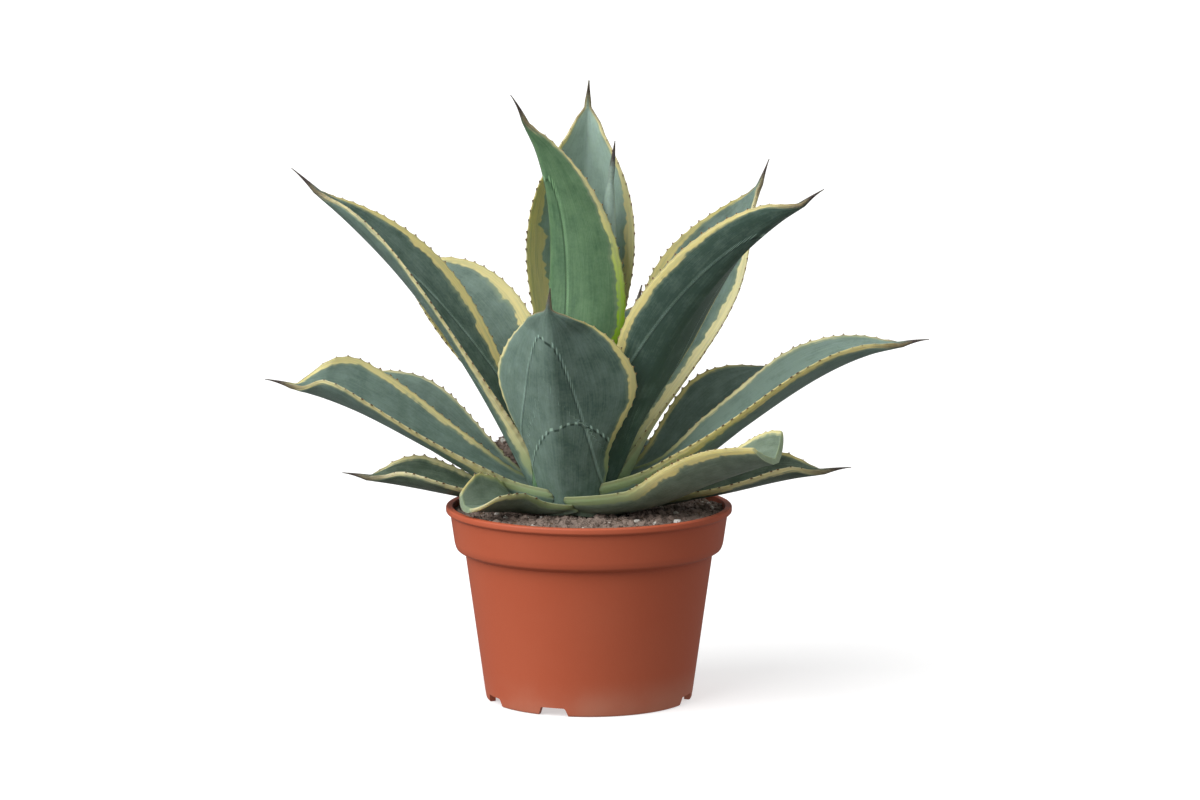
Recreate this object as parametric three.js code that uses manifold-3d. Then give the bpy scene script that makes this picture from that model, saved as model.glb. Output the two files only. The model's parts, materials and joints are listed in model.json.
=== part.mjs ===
// A potted, yellow-margined agave: nursery pot, soil, the short stem, the closed bud in
// its middle and the leaves round it.  Millimetres, +Z up.  The pot stands on z = 0 with
// its axis on the Z axis; the front of the plant faces -Y.  The leaves are listed in the
// order in which they keep their shape: where two press together, the later one gives way.
import * as THREE from 'three';
import Module from 'manifold-3d';

const wasm = await Module();
wasm.setup();

// ---- driving dimensions -----------------------------------------------------------------
const CLEARANCE = 0.3;          // gap left between neighbouring pieces
const ROUND = 44;               // facets round the pot and the soil

const POT_HEIGHT = 143;
const LIP_RADIUS = 105;
const BAND_TOP_RADIUS = 101.8;
const BAND_FOOT_RADIUS = 98.5;
const BAND_FOOT_HEIGHT = 115;
const WALL_TOP_RADIUS = 91;
const WALL_TOP_HEIGHT = 108.5;
const FOOT_RADIUS = 76.5;
const WALL_THICKNESS = 2.2;
const FLOOR_HEIGHT = 7;
const FLOOR_THICKNESS = 2.4;
const NOTCH_HEIGHT = 6;
const NOTCH_WIDTH = 22;
const NOTCH_HEADINGS = [160, 205, 250, 340, 25, 70];
const DRAIN_RADIUS = 5.5;
const DRAIN_RING_RADIUS = 46;

const SOIL_LEVEL = 138.6;
const MOUND = { x: -58, y: 60, height: 47, radius: 25 };

const SOIL_RINGS = [24, 46, 60, 70, 79, 87, 94];

const STEM_AT = [-3, 2];
const STEM_RADIUS = 30;
const STEM_FOOT = 118;
const STEM_PROFILE = [[30, 143], [32, 147], [30.5, 153], [27, 159], [21, 166], [13, 176], [8, 184]];

const BUD = { foot: 181, radius: 15, spine: 20 };
const BUD_FOOT_AT = [-3, 8];
const BUD_TIP = [19, 9, 410];

const MARGIN_THICKNESS = 0.9;
const SPINE_RADIUS = 2.3;
const SPINE_POINT = 0.3;
const SPINE_FLARE = 1.4;         // how hollow the spine's own outline is
const DRAW_IN = 0.3;             // how hollow the blade's outline runs into its spine
const OPENS_FLAT = 0.75;         // share of its fold and cup that a blade loses below its spine
const FLAT_LENGTH = 24;          // length in which it loses them
const TOOTH_HEIGHT = 2.4;
const TOOTH_BASE = 3.4;
const TOOTH_SPACING = 19;
const VERTICAL = new THREE.Vector3(0, 0, 1);
const OPENS_AT = 0.3;           // share of a leaf's length at which its foot has opened out
const CLASP_RADIUS = 24;        // least bend of a leaf's foot round the stem
const CLASP_LIFT = 0.1;         // how far the foot's margins stand up
const HEEL_SLOPE = 60;          // slope at which the heel meets the stem
const HEEL_RINGS = 2;
const COLUMNS = [-1, -0.55, 0, 0.55, 1];   // places across a blade, margin to margin

// heading: degrees from +X towards +Y.  root: distance from the plant's axis and height.
// rise: slope of the midrib in degrees at root, middle and tip.  width: half the blade's
// width at its belly.  lean, roll: sideways lean and twist.  fold: slope of each half at
// the midrib.  cup: further turn up to the left and right margin.
const BLADE = {
  lean: 0, roll: [0, 0, 0], shift: [-3, 2], belly: 0.58, neck: 0.5, foot: [0.62, 0.62],
  full: 1.9, taper: 1.35, fold: [18, 22, 50], cup: [25, 25], spine: 20, cut: 1, thick: 11, heel: 6,
};
const LEAVES = [
  { name: 'leaf_front_broad', heading: 250, root: [30, 157], length: 167, rise: [66, 67, 87],
    width: 60, lean: 3, shift: [-5.5, 2], belly: 0.5, taper: 0.8, full: 1.8, neck: 0.56,
    foot: [0.46, 0.46], fold: [8, 22, 42], cup: [22, 10], spine: 13 },
  { name: 'leaf_centre_left', heading: 204.8, root: [21, 163], length: 290, rise: [84, 94, 50],
    width: 55, lean: -1.7, shift: [-12, 2], belly: 0.42, taper: 1.25, fold: [25, 28, 45],
    cup: [58, 100], spine: 22 },
  { name: 'leaf_back_tall', heading: 92, root: [14, 166], length: 288, rise: [76, 84, 94],
    width: 48, belly: 0.6, lean: -2.3, roll: [0, -3, 0], shift: [-10, 2], taper: 1.25,
    full: 2.45, fold: [12, 12, 35], cup: [36, 44], spine: 16 },
  { name: 'leaf_left_upper', heading: 172, root: [27, 153], length: 305, rise: [62, 52, 36],
    width: 36, roll: [0, -10, -5], belly: 0.52, neck: 0.55, full: 2.1, fold: [14, 14, 45],
    cup: [20, 25], spine: 24 },
  { name: 'leaf_right_upper', heading: 330, root: [14, 162], length: 301, rise: [65, 52, 26],
    width: 34.5, lean: -4.5, roll: [-25, -30, 0], belly: 0.44, neck: 0.5, taper: 0.7,
    foot: [0.7, 0.7], cup: [12, 18], heel: 14 },
  { name: 'leaf_left_upper_rear', heading: 139, root: [26, 156], length: 238,
    rise: [62, 44, 12], width: 42, roll: [0, -10, -15], full: 2.2, taper: 0.9,
    fold: [6, 6, 35], cup: [12, 35], spine: 18 },
  { name: 'leaf_right_upper_rear', heading: 40, root: [19, 158], length: 278,
    rise: [58, 54, 60], width: 46, lean: -1.3, fold: [5, 3, 30], cup: [35, 10] },
  { name: 'leaf_back_right', heading: 72.5, root: [26, 150], length: 182, rise: [55, 51, 41],
    width: 35, spine: 18 },
  { name: 'leaf_right_long', heading: 345.8, root: [31, 156], length: 256, rise: [20, 36, 2],
    width: 32, roll: [0, 16, 10], belly: 0.55, neck: 0.85, foot: [1.3, 1.4],
    fold: [30, 20, 48], cup: [22, 13], thick: 9, heel: 10 },
  { name: 'leaf_left_long', heading: 177, root: [33, 151], length: 220, rise: [17, 28, 5],
    width: 34, roll: [0, -15, -14], belly: 0.72, foot: [1.5, 0.7], neck: 0.62, full: 2.2,
    fold: [18, 19, 50], cup: [20, 25], thick: 9, heel: 10 },
  { name: 'leaf_right_rear', heading: 30, root: [29, 150], length: 180, rise: [28, 35, 16],
    width: 27, lean: 5, roll: [5, 28, 22], fold: [10, 10, 35], cup: [15, 10] },
  { name: 'leaf_back_left', heading: 112, root: [30, 151], length: 146, rise: [42, 40, 18],
    width: 33 },
  { name: 'leaf_front_right_cut', heading: 318, root: [38, 149], length: 222,
    rise: [11, 20, -5], width: 32, roll: [2, 3, 50], belly: 0.48, neck: 0.75, foot: [0.8, 1.6],
    cut: 0.68, thick: 8.5, heel: 12 },
  { name: 'leaf_back_low', heading: 84, root: [34, 149], length: 114, rise: [27, 29, 12],
    width: 27, spine: 18, thick: 9, heel: 9 },
  { name: 'leaf_left_rear', heading: 155, root: [38, 149], length: 198, rise: [23, 30, 7],
    width: 27, roll: [0, -3, 0], thick: 9, heel: 9 },
  { name: 'leaf_right_low', heading: 357, root: [37.5, 147.3], length: 160, rise: [1, 13, 1],
    width: 22, roll: [0, 22, 0], thick: 6.7, heel: 9 },
  { name: 'leaf_left_low', heading: 187, root: [38, 148], length: 142, rise: [2, 12, 4],
    width: 22, roll: [0, -18, 0], spine: 18, thick: 8, heel: 9 },
  { name: 'leaf_back_right_low', heading: 60, root: [38, 148], length: 105, rise: [14, 18, 6],
    width: 22, spine: 16, thick: 8, heel: 9 },
  { name: 'leaf_front_left_cut', heading: 215, root: [39, 146], length: 92, rise: [2, 7, 4],
    width: 25, roll: [-8, -20, -70], shift: [-7, 2], belly: 0.45, neck: 0.95, foot: [1.4, 0.8],
    fold: [20, 32, 40], cut: 0.68, thick: 6, heel: 8 },
];

// ---- small helpers ----------------------------------------------------------------------
const radians = (degrees) => (degrees * Math.PI) / 180;
const clamp = (x, low, high) => Math.min(Math.max(x, low), high);
const mix = (a, b, k) => a + (b - a) * k;

/** Smooth step from 0 to 1. */
function ease(x) {
  const s = clamp(x, 0, 1);
  return s * s * (3 - 2 * s);
}

/** Parabola through three values at t = 0, 0.5 and 1. */
function through([first, middle, last], t) {
  return first * (1 - t) * (1 - 2 * t) + 4 * middle * t * (1 - t) + last * t * (2 * t - 1);
}

/** Solid from a list of [x, y, z] corners and a list of triangles, turned to face out. */
function solidFrom(corners, triangles) {
  let volume = 0;
  for (const [a, b, c] of triangles) {
    const [p, q, r] = [corners[a], corners[b], corners[c]];
    volume += p[0] * (q[1] * r[2] - q[2] * r[1]) + p[1] * (q[2] * r[0] - q[0] * r[2])
      + p[2] * (q[0] * r[1] - q[1] * r[0]);
  }
  const facing = volume > 0 ? triangles : triangles.map(([a, b, c]) => [a, c, b]);
  const mesh = new wasm.Mesh({
    numProp: 3,
    vertProperties: new Float32Array(corners.flat()),
    triVerts: new Uint32Array(facing.flat()),
  });
  return new wasm.Manifold(mesh);
}

/** Solid from a closed three.js geometry; corners that coincide become one. */
function solidFromGeometry(geometry) {
  const place = geometry.getAttribute('position');
  const index = geometry.index.array;
  const known = new Map();
  const corners = [];
  const ids = [];
  for (let i = 0; i < place.count; i += 1) {
    const corner = [place.getX(i), place.getY(i), place.getZ(i)];
    const key = corner.map((value) => Math.round(value * 1e4)).join();
    if (!known.has(key)) {
      known.set(key, corners.length);
      corners.push(corner);
    }
    ids.push(known.get(key));
  }
  const triangles = [];
  for (let i = 0; i < index.length; i += 3) {
    const triangle = [ids[index[i]], ids[index[i + 1]], ids[index[i + 2]]];
    if (new Set(triangle).size === 3) triangles.push(triangle);
  }
  return solidFrom(corners, triangles);
}

/** Upright solid of revolution from [radius, height] corners that close on the axis. */
function turned(profile, facets = ROUND) {
  const points = profile.map(([radius, height]) => new THREE.Vector2(radius, height));
  const geometry = new THREE.LatheGeometry(points, facets);
  geometry.rotateX(Math.PI / 2);
  return solidFromGeometry(geometry);
}

/** The largest piece of a solid that cutting has left in several pieces. */
function largest(solid) {
  const pieces = solid.decompose();
  pieces.sort((a, b) => b.volume() - a.volume());
  return pieces[0];
}

/** Named mesh of a solid, in its own material. */
function part(name, solid, colour, roughness) {
  const { vertProperties, triVerts, numProp } = solid.getMesh();
  const place = new Float32Array((vertProperties.length / numProp) * 3);
  for (let i = 0; i < place.length / 3; i += 1) {
    for (let k = 0; k < 3; k += 1) place[3 * i + k] = vertProperties[numProp * i + k];
  }
  const geometry = new THREE.BufferGeometry();
  geometry.setAttribute('position', new THREE.BufferAttribute(place, 3));
  geometry.setIndex(Array.from(triVerts));
  geometry.computeVertexNormals();
  const material = new THREE.MeshStandardMaterial({ color: colour, roughness, metalness: 0 });
  const mesh = new THREE.Mesh(geometry, material);
  mesh.name = name;
  return mesh;
}

// ---- pot --------------------------------------------------------------------------------
/** Outer side of the pot from its foot to the top of the lip. */
const POT_OUTSIDE = [
  [FOOT_RADIUS - 2.2, 0],
  [FOOT_RADIUS - 0.8, 1.2],
  [FOOT_RADIUS, 5],
  [WALL_TOP_RADIUS, WALL_TOP_HEIGHT],
  [WALL_TOP_RADIUS + 1.4, WALL_TOP_HEIGHT + 1.6],
  [BAND_FOOT_RADIUS - 2.4, BAND_FOOT_HEIGHT - 2.6],
  [BAND_FOOT_RADIUS, BAND_FOOT_HEIGHT],
  [BAND_TOP_RADIUS, POT_HEIGHT - 6],
  [LIP_RADIUS - 0.9, POT_HEIGHT - 4.4],
  [LIP_RADIUS, POT_HEIGHT - 2.6],
  [LIP_RADIUS - 0.6, POT_HEIGHT - 0.8],
  [LIP_RADIUS - 2, POT_HEIGHT],
];

/** Inner side of the pot from the top of the lip down to the floor. */
const POT_INSIDE = [
  [BAND_TOP_RADIUS - WALL_THICKNESS + 0.6, POT_HEIGHT],
  [BAND_TOP_RADIUS - WALL_THICKNESS - 0.3, POT_HEIGHT - 1],
  [BAND_FOOT_RADIUS - WALL_THICKNESS, BAND_FOOT_HEIGHT - 0.5],
  [WALL_TOP_RADIUS - WALL_THICKNESS, WALL_TOP_HEIGHT - 1.5],
  [FOOT_RADIUS - WALL_THICKNESS, FLOOR_HEIGHT + FLOOR_THICKNESS],
];

/** Radius of the pot's inner side at a height. */
function insideRadius(height) {
  for (let i = 1; i < POT_INSIDE.length; i += 1) {
    const [upper, lower] = [POT_INSIDE[i - 1], POT_INSIDE[i]];
    if (height >= lower[1] && height <= upper[1]) {
      return mix(lower[0], upper[0], (height - lower[1]) / (upper[1] - lower[1]));
    }
  }
  return POT_INSIDE[POT_INSIDE.length - 1][0];
}

/** Notch through the foot ring, wider at the bottom, at a heading. */
function footNotch(heading) {
  const half = NOTCH_WIDTH / 2;
  const outline = new THREE.Shape([
    new THREE.Vector2(-half - 1.2, -2),
    new THREE.Vector2(half + 1.2, -2),
    new THREE.Vector2(half - 1.8, NOTCH_HEIGHT),
    new THREE.Vector2(-half + 1.8, NOTCH_HEIGHT),
  ]);
  const geometry = new THREE.ExtrudeGeometry(outline, { depth: 24, bevelEnabled: false });
  geometry.rotateX(Math.PI / 2);
  geometry.rotateZ(Math.PI / 2);
  geometry.translate(60, 0, 0);
  geometry.rotateZ(radians(heading));
  return extrudedSolid(geometry);
}

/** Solid of an extruded geometry, which carries no index of its own. */
function extrudedSolid(geometry) {
  const count = geometry.getAttribute('position').count;
  geometry.setIndex(Array.from({ length: count }, (_, i) => i));
  return solidFromGeometry(geometry);
}

/** Round hole through the pot's floor. */
function drainHole(x, y) {
  const top = FLOOR_HEIGHT + FLOOR_THICKNESS + 2;
  const hole = turned([[0, FLOOR_HEIGHT - 2], [DRAIN_RADIUS, FLOOR_HEIGHT - 2],
    [DRAIN_RADIUS, top], [0, top]], 12);
  return hole.translate([x, y, 0]);
}

/** The nursery pot: lip, band, tapering wall, raised floor, foot notches, drain holes. */
function pot() {
  const hollow = [
    [0, FLOOR_HEIGHT + FLOOR_THICKNESS],
    [0, FLOOR_HEIGHT],
    [FOOT_RADIUS - WALL_THICKNESS - 2.4, FLOOR_HEIGHT],
    [FOOT_RADIUS - WALL_THICKNESS - 3.2, 0],
  ];
  const floor = hollow[0];
  const profile = [...hollow.slice(1), ...POT_OUTSIDE, ...POT_INSIDE, floor];
  let solid = turned(profile);
  for (const heading of NOTCH_HEADINGS) solid = solid.subtract(footNotch(heading));
  solid = solid.subtract(drainHole(0, 0));
  for (let k = 0; k < 6; k += 1) {
    const turn = radians(60 * k + 25);
    const [x, y] = [DRAIN_RING_RADIUS * Math.cos(turn), DRAIN_RING_RADIUS * Math.sin(turn)];
    solid = solid.subtract(drainHole(x, y));
  }
  return solid;
}

// ---- soil -------------------------------------------------------------------------------
/** Height of the soil's top at a place: level, slightly uneven, with the heaped mound. */
function soilHeight(x, y) {
  const uneven = 0.9 * Math.sin(0.11 * x + 0.6) * Math.cos(0.13 * y)
    + 0.6 * Math.sin(0.21 * y + 0.17 * x);
  const away = Math.hypot(x - MOUND.x, y - MOUND.y) / MOUND.radius;
  const fall = ease((insideRadius(SOIL_LEVEL) - Math.hypot(x, y)) / 9);
  const heap = away < 1 ? MOUND.height * fall * (1 - away * away) ** 0.7 : 0;
  return SOIL_LEVEL + uneven + heap;
}

/** The soil: fills the pot, with a plain hole for the stem and a mound at the back left. */
function soil() {
  const edge = insideRadius(SOIL_LEVEL) - CLEARANCE;
  const rings = SOIL_RINGS.map((radius) => ({ radius }));
  rings.push({ radius: edge });
  for (const height of [BAND_FOOT_HEIGHT - 0.5, WALL_TOP_HEIGHT - 1.5]) {
    rings.push({ radius: insideRadius(height) - CLEARANCE, height });
  }
  const base = FLOOR_HEIGHT + FLOOR_THICKNESS + CLEARANCE;
  rings.push({ radius: insideRadius(base) - CLEARANCE, height: base });
  const corners = [];
  for (const { radius, height } of rings) {
    for (let k = 0; k < ROUND; k += 1) {
      const turn = (2 * Math.PI * k) / ROUND;
      const [x, y] = [radius * Math.cos(turn), radius * Math.sin(turn)];
      corners.push([x, y, height ?? soilHeight(x, y)]);
    }
  }
  const triangles = [];
  for (let i = 1; i < rings.length; i += 1) {
    joinRings(triangles, (i - 1) * ROUND, i * ROUND, ROUND);
  }
  corners.push([0, 0, SOIL_LEVEL], [0, 0, base]);
  closeRing(triangles, 0, corners.length - 2, ROUND, false);
  closeRing(triangles, (rings.length - 1) * ROUND, corners.length - 1, ROUND, true);
  return solidFrom(corners, triangles).subtract(stemHole());
}

/** Plain round hole in which the stem's foot stands. */
function stemHole() {
  const radius = STEM_RADIUS + CLEARANCE;
  const floor = STEM_FOOT - CLEARANCE;
  const hole = turned([[0, floor], [radius, floor], [radius, 160], [0, 160]], 20);
  return hole.translate([...STEM_AT, 0]);
}

/** Triangles between two rings of equally many corners. */
function joinRings(triangles, first, second, count) {
  for (let k = 0; k < count; k += 1) {
    const next = (k + 1) % count;
    const [a, b, c, d] = [first + k, second + k, second + next, first + next];
    triangles.push([a, b, c], [a, c, d]);
  }
}

/** Triangles from a ring to a centre corner. */
function closeRing(triangles, ring, centre, count, outward) {
  for (let k = 0; k < count; k += 1) {
    const next = (k + 1) % count;
    triangles.push(outward ? [ring + k, centre, ring + next] : [ring + next, centre, ring + k]);
  }
}

// ---- stem and bud -----------------------------------------------------------------------
/** The short stem on which the leaves sit, with its foot in the soil. */
function stem(swell = 0) {
  const profile = [[0, STEM_FOOT - swell], [STEM_RADIUS - 3 + swell, STEM_FOOT - swell],
    [STEM_RADIUS + swell, STEM_FOOT + 5]];
  for (const [radius, height] of STEM_PROFILE) profile.push([radius + swell, height]);
  profile.push([0, STEM_PROFILE[STEM_PROFILE.length - 1][1] + 3 + swell]);
  return turned(profile, 20).translate([...STEM_AT, 0]);
}

/** The closed bud: rolled young leaves, one margin lapping round it, ending in a spine. */
function bud(swell = 0) {
  const around = 14;
  const stages = [0, 0.08, 0.18, 0.3, 0.42, 0.54, 0.66, 0.77, 0.86, 0.92, 0.96, 1];
  const corners = [];
  for (const t of stages) {
    const centre = budCentre(t);
    for (let k = 0; k < around; k += 1) {
      const turn = (2 * Math.PI * k) / around;
      const radius = budRadius(t, k / around) + swell;
      corners.push([centre[0] + radius * Math.cos(turn), centre[1] + radius * Math.sin(turn),
        centre[2] + (t === 0 ? -swell : 0) + (t === 1 ? swell : 0)]);
    }
  }
  const triangles = [];
  for (let i = 1; i < stages.length; i += 1) {
    joinRings(triangles, (i - 1) * around, i * around, around);
  }
  corners.push([BUD_FOOT_AT[0], BUD_FOOT_AT[1], BUD.foot - swell]);
  corners.push([BUD_TIP[0], BUD_TIP[1], BUD_TIP[2] + swell]);
  closeRing(triangles, 0, corners.length - 2, around, false);
  closeRing(triangles, (stages.length - 1) * around, corners.length - 1, around, true);
  return solidFrom(corners, triangles);
}

/** Centre of the bud at a share of its height. */
function budCentre(t) {
  return [mix(BUD_FOOT_AT[0], BUD_TIP[0], t ** 1.1), mix(BUD_FOOT_AT[1], BUD_TIP[1], t),
    mix(BUD.foot, BUD_TIP[2], t)];
}

/** Radius of the bud: a spindle, growing from the lapped margin round to its step. */
function budRadius(t, turn) {
  const spineAt = 1 - BUD.spine / (BUD_TIP[2] - BUD.foot);
  if (t > spineAt) {
    const share = (t - spineAt) / (1 - spineAt);
    return mix(SPINE_RADIUS, SPINE_POINT, share);
  }
  const spindle = 0.55 + 0.45 * ease(t / 0.3);
  const tip = (1 - (t / spineAt) ** 2.2) ** 0.85;
  const lap = 1.6 * ((turn + 0.75 - 0.25 * t) % 1) * tip;
  return Math.max(BUD.radius * spindle * tip + lap, SPINE_RADIUS);
}

// ---- leaves -----------------------------------------------------------------------------
/** Share of the leaf's length at which its terminal spine begins. */
function spineStart(leaf) {
  return 1 - leaf.spine / leaf.length;
}

/** Radius of the terminal spine, steady until the spine begins. */
function spineRadius(leaf, t) {
  const start = spineStart(leaf);
  const left = 1 - clamp((t - start) / (1 - start), 0, 1);
  return mix(SPINE_POINT, SPINE_RADIUS, left ** SPINE_FLARE);
}

/** Half width of the blade, left (u > 0) or right: foot, neck, belly and run into the spine. */
function halfWidth(leaf, t, u = 0) {
  const run = clamp((t - leaf.belly) / (spineStart(leaf) - leaf.belly), 0, 1);
  let share = (1 - run ** leaf.full) ** (leaf.taper + DRAW_IN * run ** 8);
  if (t < 0.14) {
    share = mix(leaf.foot[u > 0 ? 0 : 1], leaf.neck, ease(t / 0.14));
  } else if (t < leaf.belly) {
    share = mix(leaf.neck, 1, ease((t - 0.14) / (leaf.belly - 0.14)));
  }
  return Math.hypot(leaf.width * share, spineRadius(leaf, t));
}

/** Thickness of the blade at its midrib. */
function midribThickness(leaf, t) {
  const grown = leaf.thick * (1 - 0.62 * ease(t / 0.55) - 0.2 * ease((t - 0.5) / 0.45));
  return Math.max(Math.min(grown, 0.84 * halfWidth(leaf, t)), 2 * spineRadius(leaf, t));
}

/** Slope of the midrib, in radians; in the heel, below t = 0, it turns down to upright. */
function midribSlope(leaf, t) {
  if (t >= 0) return radians(through(leaf.rise, t));
  return radians(mix(leaf.rise[0], HEEL_SLOPE, ease(-t / heelShare(leaf))));
}

/** Length of the heel as a share of the leaf's length. */
function heelShare(leaf) {
  return leaf.heel / leaf.length;
}

/** Midrib from the heel to the tip: place, direction, leftward and upward axes. */
function midrib(leaf) {
  const steps = 220;
  const begin = -heelShare(leaf);
  const heading = radians(leaf.heading);
  const facing = new THREE.Vector3(Math.cos(heading), Math.sin(heading), 0);
  const tilt = new THREE.Quaternion().setFromAxisAngle(facing, radians(-leaf.lean));
  const side = new THREE.Vector3(-facing.y, facing.x, 0).applyQuaternion(tilt);
  const place = new THREE.Vector3();
  const path = [];
  const step = ((1 - begin) * leaf.length) / steps;
  let before = null;
  for (let i = 0; i <= steps; i += 1) {
    const t = mix(begin, 1, i / steps);
    const slope = midribSlope(leaf, t);
    const along = facing.clone().multiplyScalar(Math.cos(slope));
    along.z = Math.sin(slope);
    along.applyQuaternion(tilt);
    if (before) place.addScaledVector(along.clone().add(before), step / 2);
    before = along;
    const up = new THREE.Vector3().crossVectors(along, side);
    const roll = radians(through(leaf.roll, Math.max(t, 0)));
    path.push({
      place: place.clone(),
      along,
      left: side.clone().multiplyScalar(Math.cos(roll)).addScaledVector(up, Math.sin(roll)),
      up: up.clone().multiplyScalar(Math.cos(roll)).addScaledVector(side, -Math.sin(roll)),
    });
  }
  const root = new THREE.Vector3(leaf.shift[0], leaf.shift[1], leaf.root[1]);
  root.addScaledVector(facing, leaf.root[0]);
  const offset = root.sub(stationAt({ path, begin }, 0).place);
  for (const station of path) station.place.add(offset);
  return { path, begin };
}

/** Place and axes of the midrib at a share of the leaf's length. */
function stationAt({ path, begin }, t) {
  const spot = clamp((t - begin) / (1 - begin), 0, 1) * (path.length - 1);
  const i = Math.min(Math.floor(spot), path.length - 2);
  const station = {};
  for (const key of ['place', 'along', 'left', 'up']) {
    station[key] = path[i][key].clone().lerp(path[i + 1][key], spot - i);
  }
  return station;
}

/**
 * Upper and lower corner of the blade at a share t of its length and u of its half width.
 * At its foot the blade lies round the stem; further out the halves fold and cup upward.
 */
function bladeCorners(leaf, path, t, u, swell) {
  const station = stationAt(path, t);
  const open = ease(t / OPENS_AT);
  const half = halfWidth(leaf, t, u);
  const share = Math.abs(u);
  const side = u < 0 ? -1 : 1;
  const below = (spineStart(leaf) - t) * leaf.length;
  const bend = 1 - OPENS_FLAT * ease(1 - below / FLAT_LENGTH);
  const fold = radians(through(leaf.fold, Math.max(t, 0)) * bend);
  const turn = radians((u > 0 ? leaf.cup[0] : leaf.cup[1]) * bend);
  const slope = fold + turn * share;
  const out = (Math.sin(slope) - Math.sin(fold)) / turn;
  const lift = (Math.cos(fold) - Math.cos(slope)) / turn;

  const upper = station.place.clone().addScaledVector(station.left, side * half * out * open);
  upper.addScaledVector(station.up, half * lift * open);
  const bent = slope * open;
  const normal = station.up.clone().multiplyScalar(Math.cos(bent));
  normal.addScaledVector(station.left, -side * Math.sin(bent));
  const outward = station.left.clone().multiplyScalar(side * Math.cos(bent));
  outward.addScaledVector(station.up, Math.sin(bent));

  const axis = new THREE.Vector3(STEM_AT[0], STEM_AT[1], 0);
  const reach = Math.hypot(station.place.x - axis.x, station.place.y - axis.y);
  const clasp = (side * share * half * (1 - open)) / Math.max(reach, CLASP_RADIUS);
  upper.sub(axis).applyAxisAngle(VERTICAL, clasp).add(axis);
  upper.z += CLASP_LIFT * half * share * share * (1 - open);
  for (const direction of [normal, outward]) direction.applyAxisAngle(VERTICAL, clasp);

  const edge = Math.min(MARGIN_THICKNESS, midribThickness(leaf, t));
  const depth = mix(edge, midribThickness(leaf, t), Math.sqrt(Math.max(0, 1 - share ** 2.2)));
  const lower = upper.clone().addScaledVector(normal, -depth - swell);
  upper.addScaledVector(normal, swell);
  if (share === 1) {
    upper.addScaledVector(outward, swell);
    lower.addScaledVector(outward, swell);
  }
  return { upper, lower, outward, along: station.along };
}

/** Corner of the round terminal spine that continues a corner of the blade. */
function spineCorner(leaf, path, t, column, isUpper, swell) {
  const station = stationAt(path, t);
  const radius = spineRadius(leaf, t);
  const turn = radians(162 - 36 * column) * (isUpper ? 1 : -1);
  const corner = station.place.clone().addScaledVector(station.up, -radius);
  corner.addScaledVector(station.left, (radius + swell) * Math.cos(turn));
  corner.addScaledVector(station.up, (radius + swell) * Math.sin(turn));
  return corner;
}

/** Rings of corners along a leaf, each upper corners first and then lower ones. */
function leafRings(leaf, path, swell) {
  const rings = [];
  const end = Math.min(spineStart(leaf), leaf.cut);
  const count = Math.round((leaf.length * Math.min(leaf.cut, 1)) / TOOTH_SPACING);
  for (let i = -HEEL_RINGS; i <= count; i += 1) {
    const t = i < 0 ? (heelShare(leaf) * i) / HEEL_RINGS : (end * i) / count;
    const isSpine = leaf.cut === 1 && i === count;
    const upper = [];
    const lower = [];
    COLUMNS.forEach((u, column) => {
      if (isSpine) {
        upper.push(spineCorner(leaf, path, t, column, true, swell));
        lower.push(spineCorner(leaf, path, t, column, false, swell));
      } else {
        const corners = bladeCorners(leaf, path, t, u, swell);
        upper.push(corners.upper);
        lower.push(corners.lower);
      }
    });
    const corners = [...upper, ...lower];
    const isHeel = i === -HEEL_RINGS;
    const isCutEnd = leaf.cut < 1 && i === count;
    if (isHeel || isCutEnd) {
      const push = isHeel ? -swell : swell;
      for (const corner of corners) corner.addScaledVector(stationAt(path, t).along, push);
    }
    rings.push({ t, corners });
  }
  if (leaf.cut === 1) {
    const ends = [mix(end, 1, 0.5), 1];
    for (const t of ends) {
      const corners = [];
      for (const isUpper of [true, false]) {
        COLUMNS.forEach((_, column) => {
          corners.push(spineCorner(leaf, path, t, column, isUpper, swell));
        });
      }
      rings.push({ t, corners });
    }
  }
  return { rings, bladeCount: count + HEEL_RINGS };
}

/** Height of the marginal tooth at a share of the length: small at the foot and the tip. */
function toothHeight(leaf, t) {
  const reach = Math.min(spineStart(leaf), leaf.cut);
  return TOOTH_HEIGHT * (0.45 + 0.55 * ease(t / 0.3)) * (0.6 + 0.4 * ease((reach - t) / 0.2));
}

/** One leaf as a closed solid: blade, teeth along both margins and terminal spine. */
function leafSolid(leaf, swell = 0) {
  const path = midrib(leaf);
  const { rings, bladeCount } = leafRings(leaf, path, swell);
  const across = COLUMNS.length;
  const size = 2 * across;
  const corners = rings.flatMap((ring) => ring.corners);
  const triangles = [];
  for (let i = 1; i < rings.length; i += 1) {
    const [a, b] = [(i - 1) * size, i * size];
    const toothed = i > HEEL_RINGS + 1 && i < bladeCount;
    for (let k = 0; k < across - 1; k += 1) {
      if (toothed && (k === 0 || k === across - 2)) continue;
      quad(triangles, a + k, a + k + 1, b + k + 1, b + k);
      quad(triangles, a + across + k + 1, a + across + k, b + across + k, b + across + k + 1);
    }
    for (const [k, u] of [[0, -1], [across - 1, 1]]) {
      if (toothed) {
        const shares = [rings[i - 1].t, rings[i].t];
        marginTooth(leaf, path, corners, triangles, [a, b], k, u, shares, swell);
      } else if (u < 0) {
        quad(triangles, a + across, a, b, b + across);
      } else {
        quad(triangles, a + k, a + across + k, b + across + k, b + k);
      }
    }
  }
  endCap(triangles, 0, across, true);
  endCap(triangles, (rings.length - 1) * size, across, false);
  return solidFrom(corners.map((corner) => corner.toArray()), triangles);
}

/** Two triangles over four corners. */
function quad(triangles, a, b, c, d) {
  triangles.push([a, b, c], [a, c, d]);
}

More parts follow.
